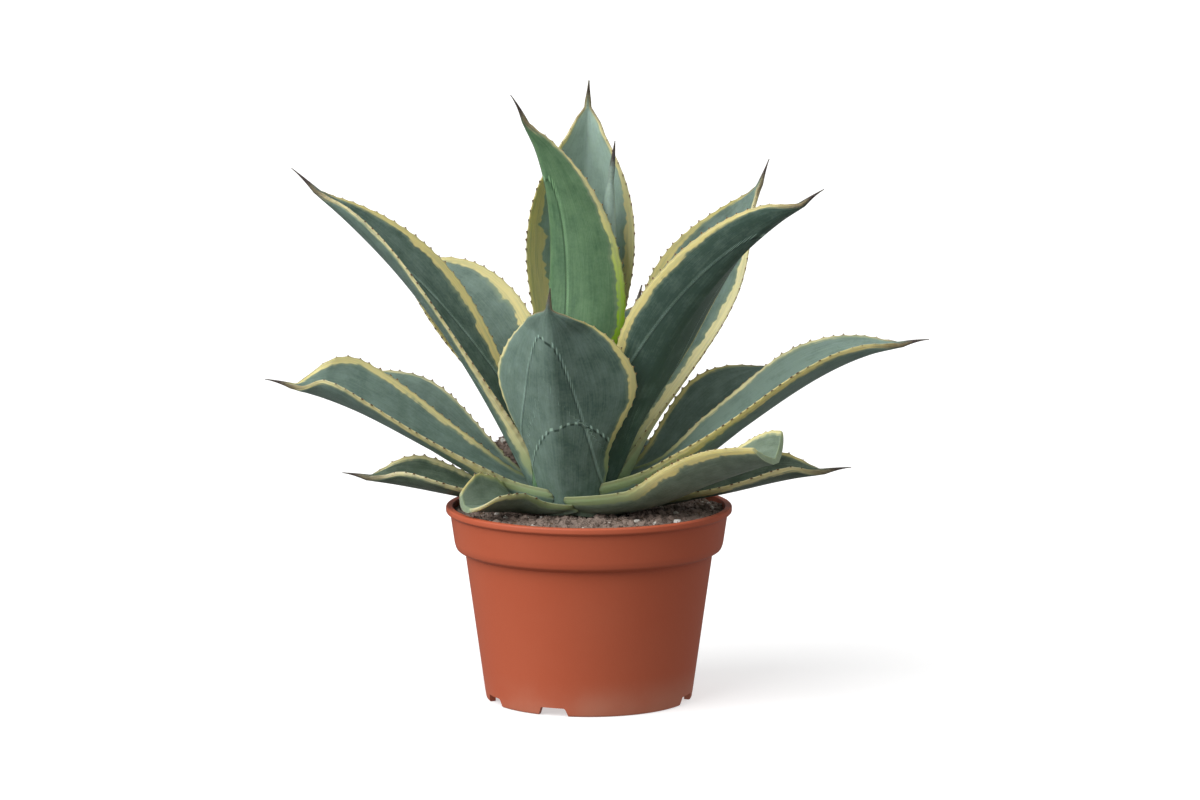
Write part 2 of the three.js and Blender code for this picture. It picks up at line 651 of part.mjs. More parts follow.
/** Flat end over the upper and lower corners of a ring. */
function endCap(triangles, ring, across, isRoot) {
  for (let k = 0; k < across - 1; k += 1) {
    const [a, b] = [ring + k, ring + k + 1];
    const [c, d] = [ring + across + k + 1, ring + across + k];
    if (isRoot) {
      quad(triangles, a, d, c, b);
    } else {
      quad(triangles, a, b, c, d);
    }
  }
}

/** The outer strip of both faces between two rings, and one tooth on the margin. */
function marginTooth(leaf, path, corners, triangles, [a, b], k, u, [from, to], swell) {
  const across = COLUMNS.length;
  const inner = u < 0 ? k + 1 : k - 1;
  const middle = (from + to) / 2;
  const reach = TOOTH_BASE / 2 / leaf.length;
  const start = bladeCorners(leaf, path, middle - reach, u, swell);
  const end = bladeCorners(leaf, path, middle + reach, u, swell);
  const peak = bladeCorners(leaf, path, middle, u, 0);
  const tip = peak.upper.clone().lerp(peak.lower, 0.5);
  tip.addScaledVector(peak.outward, toothHeight(leaf, middle) + swell);
  tip.addScaledVector(peak.along, 0.8);
  const first = corners.length;
  corners.push(start.upper, end.upper, start.lower, end.lower, tip);
  const [upperStart, upperEnd, lowerStart, lowerEnd, point] = [0, 1, 2, 3, 4].map((n) => first + n);
  const fan = [
    [a + inner, a + k, upperStart], [a + inner, upperStart, upperEnd],
    [a + inner, upperEnd, b + inner], [b + inner, upperEnd, b + k],
    [a + across + inner, lowerStart, a + across + k],
    [a + across + inner, lowerEnd, lowerStart],
    [a + across + inner, b + across + inner, lowerEnd],
    [b + across + inner, b + across + k, lowerEnd],
    [a + k, a + across + k, lowerStart], [a + k, lowerStart, upperStart],
    [upperStart, lowerStart, point], [upperEnd, upperStart, point],
    [lowerEnd, upperEnd, point], [lowerStart, lowerEnd, point],
    [upperEnd, lowerEnd, b + across + k], [upperEnd, b + across + k, b + k],
  ];
  for (const [p, q, r] of fan) triangles.push(u < 0 ? [p, r, q] : [p, q, r]);
}

// ---- assembly ---------------------------------------------------------------------------
const plant = new THREE.Group();
plant.name = 'potted_agave';
plant.add(part('pot', pot(), 0xb4593c, 0.5));
plant.add(part('soil', soil(), 0x3f2f25, 0.95));
plant.add(part('stem', stem(), 0xa9b58a, 0.6));
plant.add(part('central_bud', bud().subtract(stem(CLEARANCE)), 0x7f9a86, 0.5));

const taken = [stem(CLEARANCE), bud(CLEARANCE), soil().translate([0, 0, CLEARANCE])];
for (const entry of LEAVES) {
  const leaf = { ...BLADE, ...entry };
  let solid = leafSolid(leaf);
  for (const other of taken) solid = solid.subtract(other);
  plant.add(part(leaf.name, largest(solid), 0x67806f, 0.5));
  taken.push(leafSolid(leaf, CLEARANCE));
}

export default plant;
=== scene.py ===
"""Visual model of a potted agave with yellow-margined leaves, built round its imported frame.

The pot, the soil, the central bud and every leaf are finer pieces of the same form as the plain
solids that they stand for.  Leaf, bud and pot sizes are in millimetres, as on the solids; meshes,
lights and the camera are in metres.  +Z is up, and the front of the plant faces -Y.
"""
import json
import logging
import math
from dataclasses import dataclass
from enum import Enum
from functools import cache
from typing import Any, ClassVar, Optional, Sequence, Union

import bmesh
import bpy
import numpy as np
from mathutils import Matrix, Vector

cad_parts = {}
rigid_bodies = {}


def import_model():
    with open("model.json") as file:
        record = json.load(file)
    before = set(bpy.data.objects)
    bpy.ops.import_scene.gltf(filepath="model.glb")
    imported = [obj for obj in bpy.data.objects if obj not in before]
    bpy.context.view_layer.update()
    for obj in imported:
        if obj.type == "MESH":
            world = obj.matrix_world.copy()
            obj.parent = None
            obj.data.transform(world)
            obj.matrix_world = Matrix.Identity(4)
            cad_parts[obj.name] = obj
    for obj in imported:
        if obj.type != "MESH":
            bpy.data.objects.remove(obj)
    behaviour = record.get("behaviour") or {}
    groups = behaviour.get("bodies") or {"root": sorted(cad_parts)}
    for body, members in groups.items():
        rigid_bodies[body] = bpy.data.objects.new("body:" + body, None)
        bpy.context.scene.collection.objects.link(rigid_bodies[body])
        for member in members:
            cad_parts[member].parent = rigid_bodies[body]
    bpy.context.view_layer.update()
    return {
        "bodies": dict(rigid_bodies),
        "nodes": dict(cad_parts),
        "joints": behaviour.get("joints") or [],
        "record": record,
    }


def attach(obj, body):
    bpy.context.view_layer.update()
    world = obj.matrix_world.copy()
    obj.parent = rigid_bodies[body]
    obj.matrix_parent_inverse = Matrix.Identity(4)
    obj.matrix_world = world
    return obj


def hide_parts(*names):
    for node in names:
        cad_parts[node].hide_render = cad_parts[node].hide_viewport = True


LOG = logging.getLogger("agave")
MM = 0.001
BODY = "root"
UPRIGHT = np.array([0.0, 0.0, 1.0])
WHITE = (1.0, 1.0, 1.0)
FAR = 90.0  # distance that stands for no print and no spine nearby

Array = np.ndarray
Pair = tuple[float, float]
Three = tuple[float, float, float]
Faces = list[tuple[int, ...]]
Object = bpy.types.Object
Collection = bpy.types.Collection
Material = bpy.types.Material
Node = bpy.types.Node
Tree = bpy.types.NodeTree
Socket = bpy.types.NodeSocket


# ---- numbers ------------------------------------------------------------------------------
def ease(x: Array | float) -> Array:
    """Smooth step from 0 to 1."""
    share = np.clip(x, 0.0, 1.0)
    return share * share * (3 - 2 * share)


def mix(a: Array | float, b: Array | float, share: Array | float) -> Array:
    """Value between a and b."""
    return a + (b - a) * share


def through(values: Three, t: Array) -> Array:
    """Parabola through three values at t = 0, 0.5 and 1."""
    first, middle, last = values
    return first * (1 - t) * (1 - 2 * t) + 4 * middle * t * (1 - t) + last * t * (2 * t - 1)


def by_side(u: Array, pair: Pair) -> Array:
    """The first value on the left (u > 0), the second on the right."""
    return np.where(u > 0, pair[0], pair[1])


def turned(vectors: Array, axis: Array, angle: Array | float) -> Array:
    """Vectors turned about a unit axis by one angle or an angle each, in radians."""
    angle = np.asarray(angle)[..., None]
    along = (vectors @ axis)[..., None] * axis
    return along + (vectors - along) * np.cos(angle) + np.cross(axis, vectors) * np.sin(angle)


def waves(x: Array, seed: int, count: int = 3) -> Array:
    """Smooth, seeded, irregular variation between about -1 and 1 along a line.

    Args:
        x: places along the line, where 1 is about one wave.
        seed: number that gives the line its own pattern.
        count: number of sine waves that are added up.

    Returns:
        The variation at each place.
    """
    draw = np.random.default_rng(seed)
    total = np.zeros_like(x)
    for k in range(count):
        total += np.sin(2 * math.pi * x * (0.6 + 0.5 * k + 0.4 * draw.random()) + 6.3 * draw.random())
    return total / count


def circle(radius: float, height: float, count: int, at: Pair = (0.0, 0.0)) -> Array:
    """Corners of a level circle."""
    turns = np.linspace(0, 2 * math.pi, count, endpoint=False)
    x, y = at[0] + radius * np.cos(turns), at[1] + radius * np.sin(turns)
    return np.stack([x, y, np.full(count, height)], axis=1)


def rounded(corners: Sequence[Three], steps: int = 5) -> list[Pair]:
    """Polyline with its corners rounded; its two ends stay.

    Args:
        corners: two coordinates and the length cut from each side of the corner.
        steps: number of stretches in a rounding.

    Returns:
        The points of the rounded line.
    """
    points = np.array([corner[:2] for corner in corners], dtype=float)
    line: list[Pair] = []
    for i, (x, y, cut) in enumerate(corners):
        if cut <= 0 or i in (0, len(corners) - 1):
            line.append((x, y))
            continue
        here = points[i]
        sides = [(points[k] - here, np.linalg.norm(points[k] - here)) for k in (i - 1, i + 1)]
        reach = min(cut, *(0.48 * span for _, span in sides))
        start, end = (here + side / span * reach for side, span in sides)
        for s in (k / steps for k in range(steps + 1)):
            line.append(tuple((1 - s) ** 2 * start + 2 * s * (1 - s) * here + s * s * end))
    return line


# ---- meshes -------------------------------------------------------------------------------
def link(piece: Object) -> Object:
    """The object, put into the scene."""
    bpy.context.scene.collection.objects.link(piece)
    return piece


def new_object(name: str, corners: Array, faces: Faces,
               fields: Optional[dict[str, Array]] = None) -> Object:
    """Smoothly shaded object in metres, with its faces turned outward.

    Args:
        name: name of the object and of its mesh.
        corners: (n, 3) array of corners, in millimetres.
        faces: corner numbers of each face.
        fields: point attributes by name, (n,) for numbers and (n, 3) for vectors.

    Returns:
        The object, linked to the scene.
    """
    mesh = bpy.data.meshes.new(name)
    mesh.from_pydata((np.asarray(corners) * MM).tolist(), [], faces)
    for key, values in (fields or {}).items():
        kind, slot = ("FLOAT", "value") if values.ndim == 1 else ("FLOAT_VECTOR", "vector")
        layer = mesh.attributes.new(key, kind, "POINT")
        layer.data.foreach_set(slot, np.ascontiguousarray(values, dtype=np.float32).ravel())
    if faces and volume(mesh) < 0:
        mesh.flip_normals()
    mesh.polygons.foreach_set("use_smooth", [True] * len(mesh.polygons))
    mesh.update()
    return link(bpy.data.objects.new(name, mesh))


def volume(mesh: bpy.types.Mesh) -> float:
    """Signed volume of a closed mesh: negative where its faces point inward."""
    mesh.calc_loop_triangles()
    places = np.empty(3 * len(mesh.vertices))
    mesh.vertices.foreach_get("co", places)
    ids = np.empty(3 * len(mesh.loop_triangles), dtype=np.int32)
    mesh.loop_triangles.foreach_get("vertices", ids)
    a, b, c = np.moveaxis(places.reshape(-1, 3)[ids.reshape(-1, 3)], 1, 0)
    return float(np.einsum("ij,ij->i", a, np.cross(b, c)).sum() / 6)


def ring_faces(rings: int, count: int) -> Faces:
    """Quads between neighbouring closed rings of equally many corners."""
    first = (np.arange(rings - 1) * count)[:, None] + np.arange(count)
    after = (np.arange(rings - 1) * count)[:, None] + (np.arange(count) + 1) % count
    quads = np.stack([first, after, after + count, first + count], axis=-1)
    return [tuple(quad) for quad in quads.reshape(-1, 4).tolist()]


def capped(name: str, rings: Array, fields: Optional[dict[str, Array]] = None) -> Object:
    """Closed solid of equally many corners a ring, with a flat face across each end."""
    count, size = rings.shape[:2]
    last = (count - 1) * size
    ends = [tuple(range(size))[::-1], tuple(range(last, last + size))]
    return new_object(name, rings.reshape(-1, 3), [*ring_faces(count, size), *ends], fields)


def pointed(rings: Array, first: float, last: float) -> tuple[Array, Faces]:
    """Closed solid of rings about Z that ends in two points on that axis.

    Args:
        rings: (rings, corners, 3) array.
        first: height of the point before the first ring.
        last: height of the point after the last ring.

    Returns:
        The corners, points last, and the corner numbers of each face.
    """
    count, size = rings.shape[:2]
    corners = np.concatenate([rings.reshape(-1, 3), [(0, 0, first), (0, 0, last)]])
    faces = ring_faces(count, size)
    for point, ring, turn in ((count * size, 0, 1), (count * size + 1, (count - 1) * size, -1)):
        faces += [(point, *(ring + (k + 1) % size, ring + k)[::turn]) for k in range(size)]
    return corners, faces


def applied(piece: Object) -> Object:
    """The piece with its modifiers made into a plain mesh."""
    graph = bpy.context.evaluated_depsgraph_get()
    mesh = bpy.data.meshes.new_from_object(piece.evaluated_get(graph))
    mesh.name = piece.name
    piece.modifiers.clear()
    piece.data = mesh
    return piece


def cut_by(piece: Object, cutters: Collection, crease: float) -> Object:
    """The piece less all the cutters, with only its largest part kept.

    Args:
        piece: closed mesh to cut.
        cutters: collection of closed meshes.
        crease: degrees from which an edge is shaded sharp.

    Returns:
        The same object with its new mesh.
    """
    modifier = piece.modifiers.new("cut", "BOOLEAN")
    modifier.operation = "DIFFERENCE"
    modifier.solver = "MANIFOLD"
    modifier.operand_type = "COLLECTION"
    modifier.collection = cutters
    mesh = applied(piece).data
    keep_largest(mesh)
    mesh.polygons.foreach_set("use_smooth", [True] * len(mesh.polygons))
    mesh.set_sharp_from_angle(angle=math.radians(crease))
    return piece


def keep_largest(mesh: bpy.types.Mesh) -> None:
    """Removes every part of a mesh but the one with the most corners."""
    count = len(mesh.vertices)
    ends = np.empty(2 * len(mesh.edges), dtype=np.int32)
    mesh.edges.foreach_get("vertices", ends)
    first, second = ends.reshape(-1, 2).T
    labels, before = np.arange(count), None
    while before is None or (labels != before).any():
        before = labels.copy()
        low = np.minimum(labels[first], labels[second])
        np.minimum.at(labels, first, low)
        np.minimum.at(labels, second, low)
        labels = labels[labels]
    scraps = np.flatnonzero(labels != np.bincount(labels, minlength=count).argmax()).tolist()
    if scraps:
        shape = bmesh_of(mesh)
        shape.verts.ensure_lookup_table()
        bmesh.ops.delete(shape, geom=[shape.verts[i] for i in scraps], context="VERTS")
        shape.to_mesh(mesh)
        shape.free()


def bmesh_of(mesh: bpy.types.Mesh) -> bmesh.types.BMesh:
    """Editable copy of a mesh."""
    shape = bmesh.new()
    shape.from_mesh(mesh)
    return shape


def joined(first: Object, *others: Object) -> Object:
    """The first object with the meshes of the others added to its own."""
    chosen = [first, *others]
    with bpy.context.temp_override(active_object=first, object=first, selected_objects=chosen,
                                   selected_editable_objects=chosen):
        bpy.ops.object.join()
    return first


def dressed(piece: Object, material: Material, slot: str, *nodes: str) -> Object:
    """Gives a finished piece its material and ties it to the frame.

    Args:
        piece: finished mesh object.
        material: its material.
        slot: the record's material slot; not used.
        nodes: plain solids that the piece stands for.

    Returns:
        The piece.
    """
    piece.data.materials.clear()
    piece.data.materials.append(material)
    piece.data.polygons.foreach_set("material_index", [0] * len(piece.data.polygons))
    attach(piece, BODY)
    if nodes:
        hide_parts(*nodes)
    piece.data.calc_loop_triangles()
    LOG.info("%s: %d triangles", piece.name, len(piece.data.loop_triangles))
    return piece


def set_aside(cutter: Object, cutters: Collection) -> None:
    """Moves a cutter from the scene into a collection."""
    bpy.context.scene.collection.objects.unlink(cutter)
    cutters.objects.link(cutter)


def remove_all(collection: Collection) -> None:
    """Removes a collection with its objects."""
    for piece in list(collection.objects):
        bpy.data.objects.remove(piece)
    bpy.data.collections.remove(collection)


# ---- node graphs --------------------------------------------------------------------------
class Wire:
    """Value in a node tree; a sum with it adds the node that works it out."""

    def __init__(self, graph: "Graph", socket: Socket) -> None:
        """Takes the value from an output of the graph's tree."""
        self.graph = graph
        self.socket = socket

    def __add__(self, other: "Value") -> "Wire":
        """Sum."""
        return self.graph.math("ADD", self, other)

    def __sub__(self, other: "Value") -> "Wire":
        """Difference."""
        return self.graph.math("SUBTRACT", self, other)

    def __mul__(self, other: "Value") -> "Wire":
        """Product."""
        return self.graph.math("MULTIPLY", self, other)

    def __truediv__(self, other: "Value") -> "Wire":
        """Quotient."""
        return self.graph.math("DIVIDE", self, other)

    def __pow__(self, other: "Value") -> "Wire":
        """Power."""
        return self.graph.math("POWER", self, other)


Value = Union[float, Sequence[float], Wire]
Inputs = dict[Union[str, int], Any]
Look = tuple[Wire, Wire, Wire]


class Graph:
    """Adds nodes to one tree and joins them."""

    def __init__(self, tree: Tree) -> None:
        """Works on a shader or geometry node tree."""
        self.tree = tree

    def node(self, kind: str, inputs: Optional[Inputs] = None, **settings: Any) -> Node:
        """New node.

        Args:
            kind: the node's type name.
            inputs: wires or plain values by socket name or number.
            settings: properties of the node.

        Returns:
            The node.
        """
        made = self.tree.nodes.new(kind)
        for key, value in settings.items():
            setattr(made, key, value)
        self.fill(made, inputs or {})
        return made

    def fill(self, node: Node, inputs: Inputs) -> None:
        """Links wires to a node's inputs, or sets the inputs' own values."""
        for key, value in inputs.items():
            target = node.inputs[key]
            if isinstance(value, Wire):
                self.tree.links.new(value.socket, target)
            elif target.type == "RGBA":
                target.default_value = (*value, 1.0)
            else:
                target.default_value = value

    def wire(self, kind: str, inputs: Optional[Inputs] = None, output: Union[str, int] = 0,
             **settings: Any) -> Wire:
        """One output of a new node."""
        return Wire(self, self.node(kind, inputs, **settings).outputs[output])

    def wires(self, kind: str, inputs: Inputs, **settings: Any) -> list[Wire]:
        """Every output of a new node."""
        return [Wire(self, socket) for socket in self.node(kind, inputs, **settings).outputs]

    def math(self, operation: str, a: Value, b: Value = 0.0, clamp: bool = False) -> Wire:
        """Result of one sum on numbers."""
        return self.wire("ShaderNodeMath", {0: a, 1: b}, operation=operation, use_clamp=clamp)

    def step(self, value: Value, low: Value, high: Value, start: float = 0.0,
             end: float = 1.0) -> Wire:
        """Smooth step of a value from start at low to end at high."""
        return self.wire("ShaderNodeMapRange", {0: value, 1: low, 2: high, 3: start, 4: end},
                         interpolation_type="SMOOTHSTEP")

    def fade(self, value: Value, low: Value, high: Value) -> Wire:
        """Smooth step of a value from 1 at low to 0 at high."""
        return self.step(value, low, high, 1.0, 0.0)

    def blend(self, share: Value, a: Value, b: Value) -> Wire:
        """Colour between a and b."""
        return self.wire("ShaderNodeMix", {0: share, 6: a, 7: b}, 2, data_type="RGBA")

    def attribute(self, name: str, output: str = "Fac") -> Wire:
        """Mesh attribute in a shader."""
        return self.wire("ShaderNodeAttribute", None, output, attribute_name=name)

    def parts(self, vector: Value) -> list[Wire]:
        """The three numbers of a vector."""
        return self.wires("ShaderNodeSeparateXYZ", {0: vector})

    def vector(self, x: Value, y: Value, z: Value) -> Wire:
        """Vector of three numbers."""
        return self.wire("ShaderNodeCombineXYZ", {0: x, 1: y, 2: z})

    def place(self) -> Wire:
        """Object coordinates, in metres."""
        return self.wire("ShaderNodeTexCoord", None, "Object")

    def group(self, tree: Tree, *values: Value) -> list[Wire]:
        """Outputs of a shader group, given its inputs in their order."""
        return self.wires("ShaderNodeGroup", dict(enumerate(values)), node_tree=tree)

    def ends(self, **outputs: Wire) -> Tree:
        """The tree, ended in its outputs."""
        self.node("NodeGroupOutput", outputs)
        return self.tree


SOCKET_KINDS = {"Geometry": "Geometry", "Material": "Material", "Vector": "Vector", "Seed": "Int",
                "Fineness": "Int"}


def new_tree(kind: str, name: str, inputs: str, outputs: str) -> tuple[Graph, list[Wire]]:
    """Empty node group whose sockets are numbers unless SOCKET_KINDS says otherwise.

    Args:
        kind: Shader or Geometry.
        name: name of the group.
        inputs: names of its inputs, with spaces between them.
        outputs: names of its outputs.

    Returns:
        Its graph and its inputs.
    """
    tree = bpy.data.node_groups.new(name, f"{kind}NodeTree")
    for way, keys in (("INPUT", inputs), ("OUTPUT", outputs)):
        for key in keys.split():
            socket = f"NodeSocket{SOCKET_KINDS.get(key, 'Float')}"
            tree.interface.new_socket(name=key, in_out=way, socket_type=socket)
    graph = Graph(tree)
    given = graph.node("NodeGroupInput").outputs
    return graph, [Wire(graph, given[key]) for key in inputs.split()]


class ShaderGroups:
    """Effects that several finishes use, each built once."""

    BLUR = 0.8
    RAGGED = 1.3
    PRINT_PITCH = 5.6

    def __init__(self) -> None:
        """Builds every group."""
        self.mottle = self._mottle()
        self.streaks = self._streaks()
        self.margin = self._margin()
        self.imprint = self._imprint()

    def _mottle(self) -> Tree:
        """Cloudy patches: Value is 0 below Low and 1 above High of a noise of the given Scale."""
        graph, (place, scale, low, high) = new_tree("Shader", "Mottle", "Vector Scale Low High", "Value")
        noise = graph.wire("ShaderNodeTexNoise", {"Vector": place, "Scale": scale, "Detail": 5.0})
        return graph.ends(Value=graph.step(noise, low, high))

    def _streaks(self) -> Tree:
        """Fine lines that run along a blade and draw together with it."""
        graph, (across, along, lines, wave) = new_tree("Shader", "Streaks", "Across Along Lines Wave",
                                                       "Value")
        noise = graph.wire("ShaderNodeTexNoise", {
            "Vector": graph.vector(across * lines, along / wave, 3.7), "Scale": 1.0, "Detail": 3.0})
        return graph.ends(Value=graph.step(noise, 0.32, 0.68))

    def _margin(self) -> Tree:
        """Masks of the variegated margin: the band, the pale zone inside it and the horny edge."""
        graph, (edge, width, streak) = new_tree("Shader", "Margin", "Edge Width Streak", "Band Pale Rim")
        depth = edge + (streak - 0.5) * self.RAGGED
        inner = width + self.BLUR
        return graph.ends(Band=graph.fade(depth, width - self.BLUR, inner),
                          Pale=graph.fade(depth, inner, width * 1.5 + self.BLUR),
                          Rim=graph.fade(edge, 0.3, 0.9))

    def _imprint(self) -> Tree:
        """Print of a neighbour's toothed margin, pressed in while both leaves were in the bud.

        Line is the faint edge of the print, Mark the pale scratch that each tooth has left, Notch
        the dark nick beside it and Inside the blade within the print.
        """
        graph, (away, run) = new_tree("Shader", "Imprint", "Distance Run", "Line Mark Notch Inside")
        saw = graph.math("PINGPONG", run / self.PRINT_PITCH, 0.5)
        line, mark, notch = (
            graph.fade(graph.math("ABSOLUTE", away + shift), low, high)
            for shift, low, high in ((0.0, 0.1, 0.9), (-0.7, 0.5, 1.3), (0.6, 0.3, 1.2)))
        inside = graph.fade(away, -self.BLUR, self.BLUR) * graph.step(away, -60.0, -20.0, 0.3, 1.0)
        return graph.ends(Line=line, Mark=mark * graph.step(saw, 0.28, 0.4),
                          Notch=notch * graph.fade(saw, 0.16, 0.32), Inside=inside)


def new_material(name: str) -> tuple[Material, Graph, Node]:
    """Material with its graph and its plain Principled shader."""
    material = bpy.data.materials.new(name)
    material.use_nodes = True
    return material, Graph(material.node_tree), material.node_tree.nodes["Principled BSDF"]


# ---- finishes -----------------------------------------------------------------------------
@dataclass(frozen=True)
class Finish:
    """Look of a surface; each kind works out its own colour, roughness and relief.

    plain: uniform values by the shader's socket name.  bump: depth of the relief, in metres, and
    its strength.  Colours are linear.
    """

    name: str
    plain: ClassVar[dict[str, Any]] = {}
    bump: ClassVar[Pair] = (0.3 * MM, 0.5)

    def look(self, graph: Graph, groups: ShaderGroups) -> Look:
        """Colour, roughness and height of the relief from 0 to 1."""
        raise NotImplementedError

    @cache
    def material(self, groups: ShaderGroups) -> Material:
        """The finish's material, built the first time it is asked for.

        Args:
            groups: the shared shader groups.

        Returns:
            The material.
        """
        material, graph, shader = new_material(self.name)
        colour, roughness, height = self.look(graph, groups)
        depth, strength = self.bump
        normal = graph.wire("ShaderNodeBump", {"Height": height, "Distance": depth,
                                               "Strength": strength})
        graph.fill(shader, {"Base Color": colour, "Roughness": roughness, "Normal": normal,
                            **self.plain})
        return material


@dataclass(frozen=True)
class LeafFinish(Finish):
    """Leaf blade; the masks come from the blade's own attributes.

    STREAKS: lines across and length of a wave, in millimetres.  CLOUDS: scale, low and high.
    """

    STREAKS = ((64.0, 26.0), (17.0, 30.0), (5.0, 13.0))
    CLOUDS = ((70.0, 0.25, 0.75), (520.0, 0.3, 0.7))

    body: Three = (0.060, 0.108, 0.082)
    bloom: Three = (0.205, 0.290, 0.245)
    pale: Three = (0.300, 0.370, 0.235)
    yellow: Three = (0.720, 0.590, 0.190)
    cream: Three = (0.780, 0.730, 0.430)
    # Painted backlight: yellow-green that stands for light shining through the thin margin.
    painted_backlight: Three = (0.360, 0.600, 0.035)
    foot: Three = (0.190, 0.280, 0.140)
    horn: Three = (0.062, 0.046, 0.044)
    thorn: Three = (0.180, 0.085, 0.040)
    roughness: float = 0.44
    plain: ClassVar[dict[str, Any]] = {
        "Specular IOR Level": 0.25, "Subsurface Weight": 0.45, "Subsurface Radius": (1.0, 1.0, 0.6),
        "Subsurface Scale": 6.0 * MM}
    bump: ClassVar[Pair] = (0.35 * MM, 0.6)

    def look(self, graph: Graph, groups: ShaderGroups) -> Look:
        """Waxy blade with prints, a variegated margin and brown horn, with painted light and shade as
        more or less bloom on each half.
        """
        (across, along, _), (edge, width, tip), (distance, run, tooth), (cream, painted_backlight, light) = (
            graph.parts(graph.attribute(name, "Vector"))
            for name in ("blade", "margin", "detail", "tint"))
        place = graph.place()
        fine, broad, blotch = (graph.group(groups.streaks, across, along, *values)[0]
                               for values in self.STREAKS)
        cloud, speck = (graph.group(groups.mottle, place, *values)[0] for values in self.CLOUDS)
        band, pale, rim = graph.group(groups.margin, edge, width, broad)
        line, mark, notch, inside = graph.group(groups.imprint, distance, run)

        # Painted light and shade: the light value of each half raises or lowers the share of pale bloom.
        wax_and_painted_light = light * 0.8 - 0.02 + fine * 0.20 + blotch * 0.26 + cloud * 0.24 - speck * 0.14
        wax_and_painted_light = graph.math("SUBTRACT", wax_and_painted_light, inside * 0.09, clamp=True)
        horny, thorny = self._horn(graph, edge, tip - speck * 2.0, tooth)
        worn = cloud * 0.4 + 0.6
        colour = graph.blend(wax_and_painted_light, self.body, self.bloom)
        for share, shade in (
            (line * 0.06 * worn, tuple(1.3 * value for value in self.bloom)),
            (notch * 0.95 * worn, tuple(0.4 * value for value in self.body)),
            (mark * worn, tuple(1.9 * value for value in self.bloom)),
            (pale * (broad * 0.55 + 0.10), self.pale),
            (band, self._band(graph, cream, painted_backlight, along, fine * broad * 0.45)),
            (rim * 0.25, self.thorn),
            (graph.attribute("scar") * 0.6, self.pale),
            (thorny, self.thorn),
            (horny, self.horn),
        ):
            colour = graph.blend(share, colour, shade)
        rough = wax_and_painted_light * 0.14 + self.roughness - horny * 0.10
        relief = fine * 0.22 + speck * 0.12 + broad * 0.30 - line * 0.1 - notch * 0.7
        return colour, rough, relief

    def _band(self, graph: Graph, cream: Wire, painted_backlight: Wire, along: Wire, streak: Wire) -> Wire:
        """Colour of the margin: yellow to cream, greenish at the foot, with yellow-green painted
        backlight low on some margins, finely streaked.
        """
        colour = graph.blend(cream, self.yellow, self.cream)
        colour = graph.blend(graph.step(along, 14.0, 70.0, 0.9, 0.0), colour, self.foot)
        return graph.blend(streak, graph.blend(painted_backlight, colour, self.painted_backlight), self.pale)

    @staticmethod
    def _horn(graph: Graph, edge: Wire, ragged: Wire, tooth: Wire) -> tuple[Wire, Wire]:
        """Masks of the brown horn: the spine with the edges below it, and the teeth."""
        thin_edge = graph.fade(edge, 0.4, graph.step(ragged, 0.0, 22.0, 2.6, 0.9))
        runs_down = graph.step(ragged, -4.0, 24.0, 0.75, 0.0) * thin_edge
        horny = graph.math("MAXIMUM", graph.fade(ragged, -11.0, 7.0), runs_down)
        dark_tip = graph.step(tooth, 0.55, 0.9) * 0.7
        return graph.math("MAXIMUM", horny, dark_tip), graph.step(tooth, 0.05, 0.4)


@dataclass(frozen=True)
class PotFinish(Finish):
    """Satin injection-moulded plastic of a terracotta colour, with clouds, a grain and specks."""

    CLOUDS = ((11.0, 0.3, 0.7), (900.0, 0.3, 0.7), (260.0, 0.74, 0.80))

    name: str = "pot_plastic"
    colour: Three = (0.480, 0.100, 0.044)
    worn: Three = (0.510, 0.124, 0.060)
    pale_patch: Three = (0.560, 0.300, 0.210)
    roughness: float = 0.44
    plain: ClassVar[dict[str, Any]] = {"Specular IOR Level": 0.30}
    bump: ClassVar[Pair] = (0.05 * MM, 0.5)

    def look(self, graph: Graph, groups: ShaderGroups) -> Look:
        """Slightly cloudy plastic with a grain, a few specks and a paler, patchy colour low down."""
        place = graph.place()
        low = graph.step(graph.parts(place)[2], 0.0, 0.03, 0.45, 0.0)
        cloud, grain, specks = (graph.group(groups.mottle, place, *values)[0]
                                for values in self.CLOUDS)
        colour = graph.blend(cloud * 0.4, self.colour, self.worn)
        # Paler, patchy colour towards the foot.
        colour = graph.blend(low * cloud, colour, self.pale_patch)
        colour = graph.blend(specks * 0.35, colour, self.pale_patch)
        return colour, cloud * 0.10 + self.roughness + grain * 0.05, grain


@dataclass(frozen=True)
class SoilFinish(Finish):
    """Fibres or perlite: two colours mixed by each lump's own tone."""

    dark: Three
    light: Three
    roughness: float = 0.84
    grain: float = 700.0
    plain: ClassVar[dict[str, Any]] = {"Specular IOR Level": 0.12}
    bump: ClassVar[Pair] = (0.3 * MM, 0.7)

    def look(self, graph: Graph, groups: ShaderGroups) -> Look:
        """Patchy lumps, each with its own tone."""
        patch = graph.group(groups.mottle, graph.place(), self.grain, 0.35, 0.70)[0]
        share = graph.attribute("tone") * 0.8 + patch * 0.2
        return graph.blend(share, self.dark, self.light), patch * 0.08 + self.roughness, patch


@dataclass(frozen=True)
class StemFinish(Finish):
    """Pale tissue of the short stem, with the rings of old leaf scars."""

    name: str = "stem_tissue"
    flesh: Three = (0.30, 0.36, 0.19)
    scar: Three = (0.20, 0.16, 0.09)
    rings_per_metre: float = 260.0

    def look(self, graph: Graph, groups: ShaderGroups) -> Look:
        """Flesh with patchy rings."""
        place = graph.place()
        rings = graph.math("PINGPONG", graph.parts(place)[2] * self.rings_per_metre, 0.5)
        patch = graph.group(groups.mottle, place, 160.0, 0.35, 0.7)[0]
        colour = graph.blend(graph.step(rings, 0.30, 0.5) * patch, self.flesh, self.scar)
        return colour, patch * 0.2 + 0.5, rings


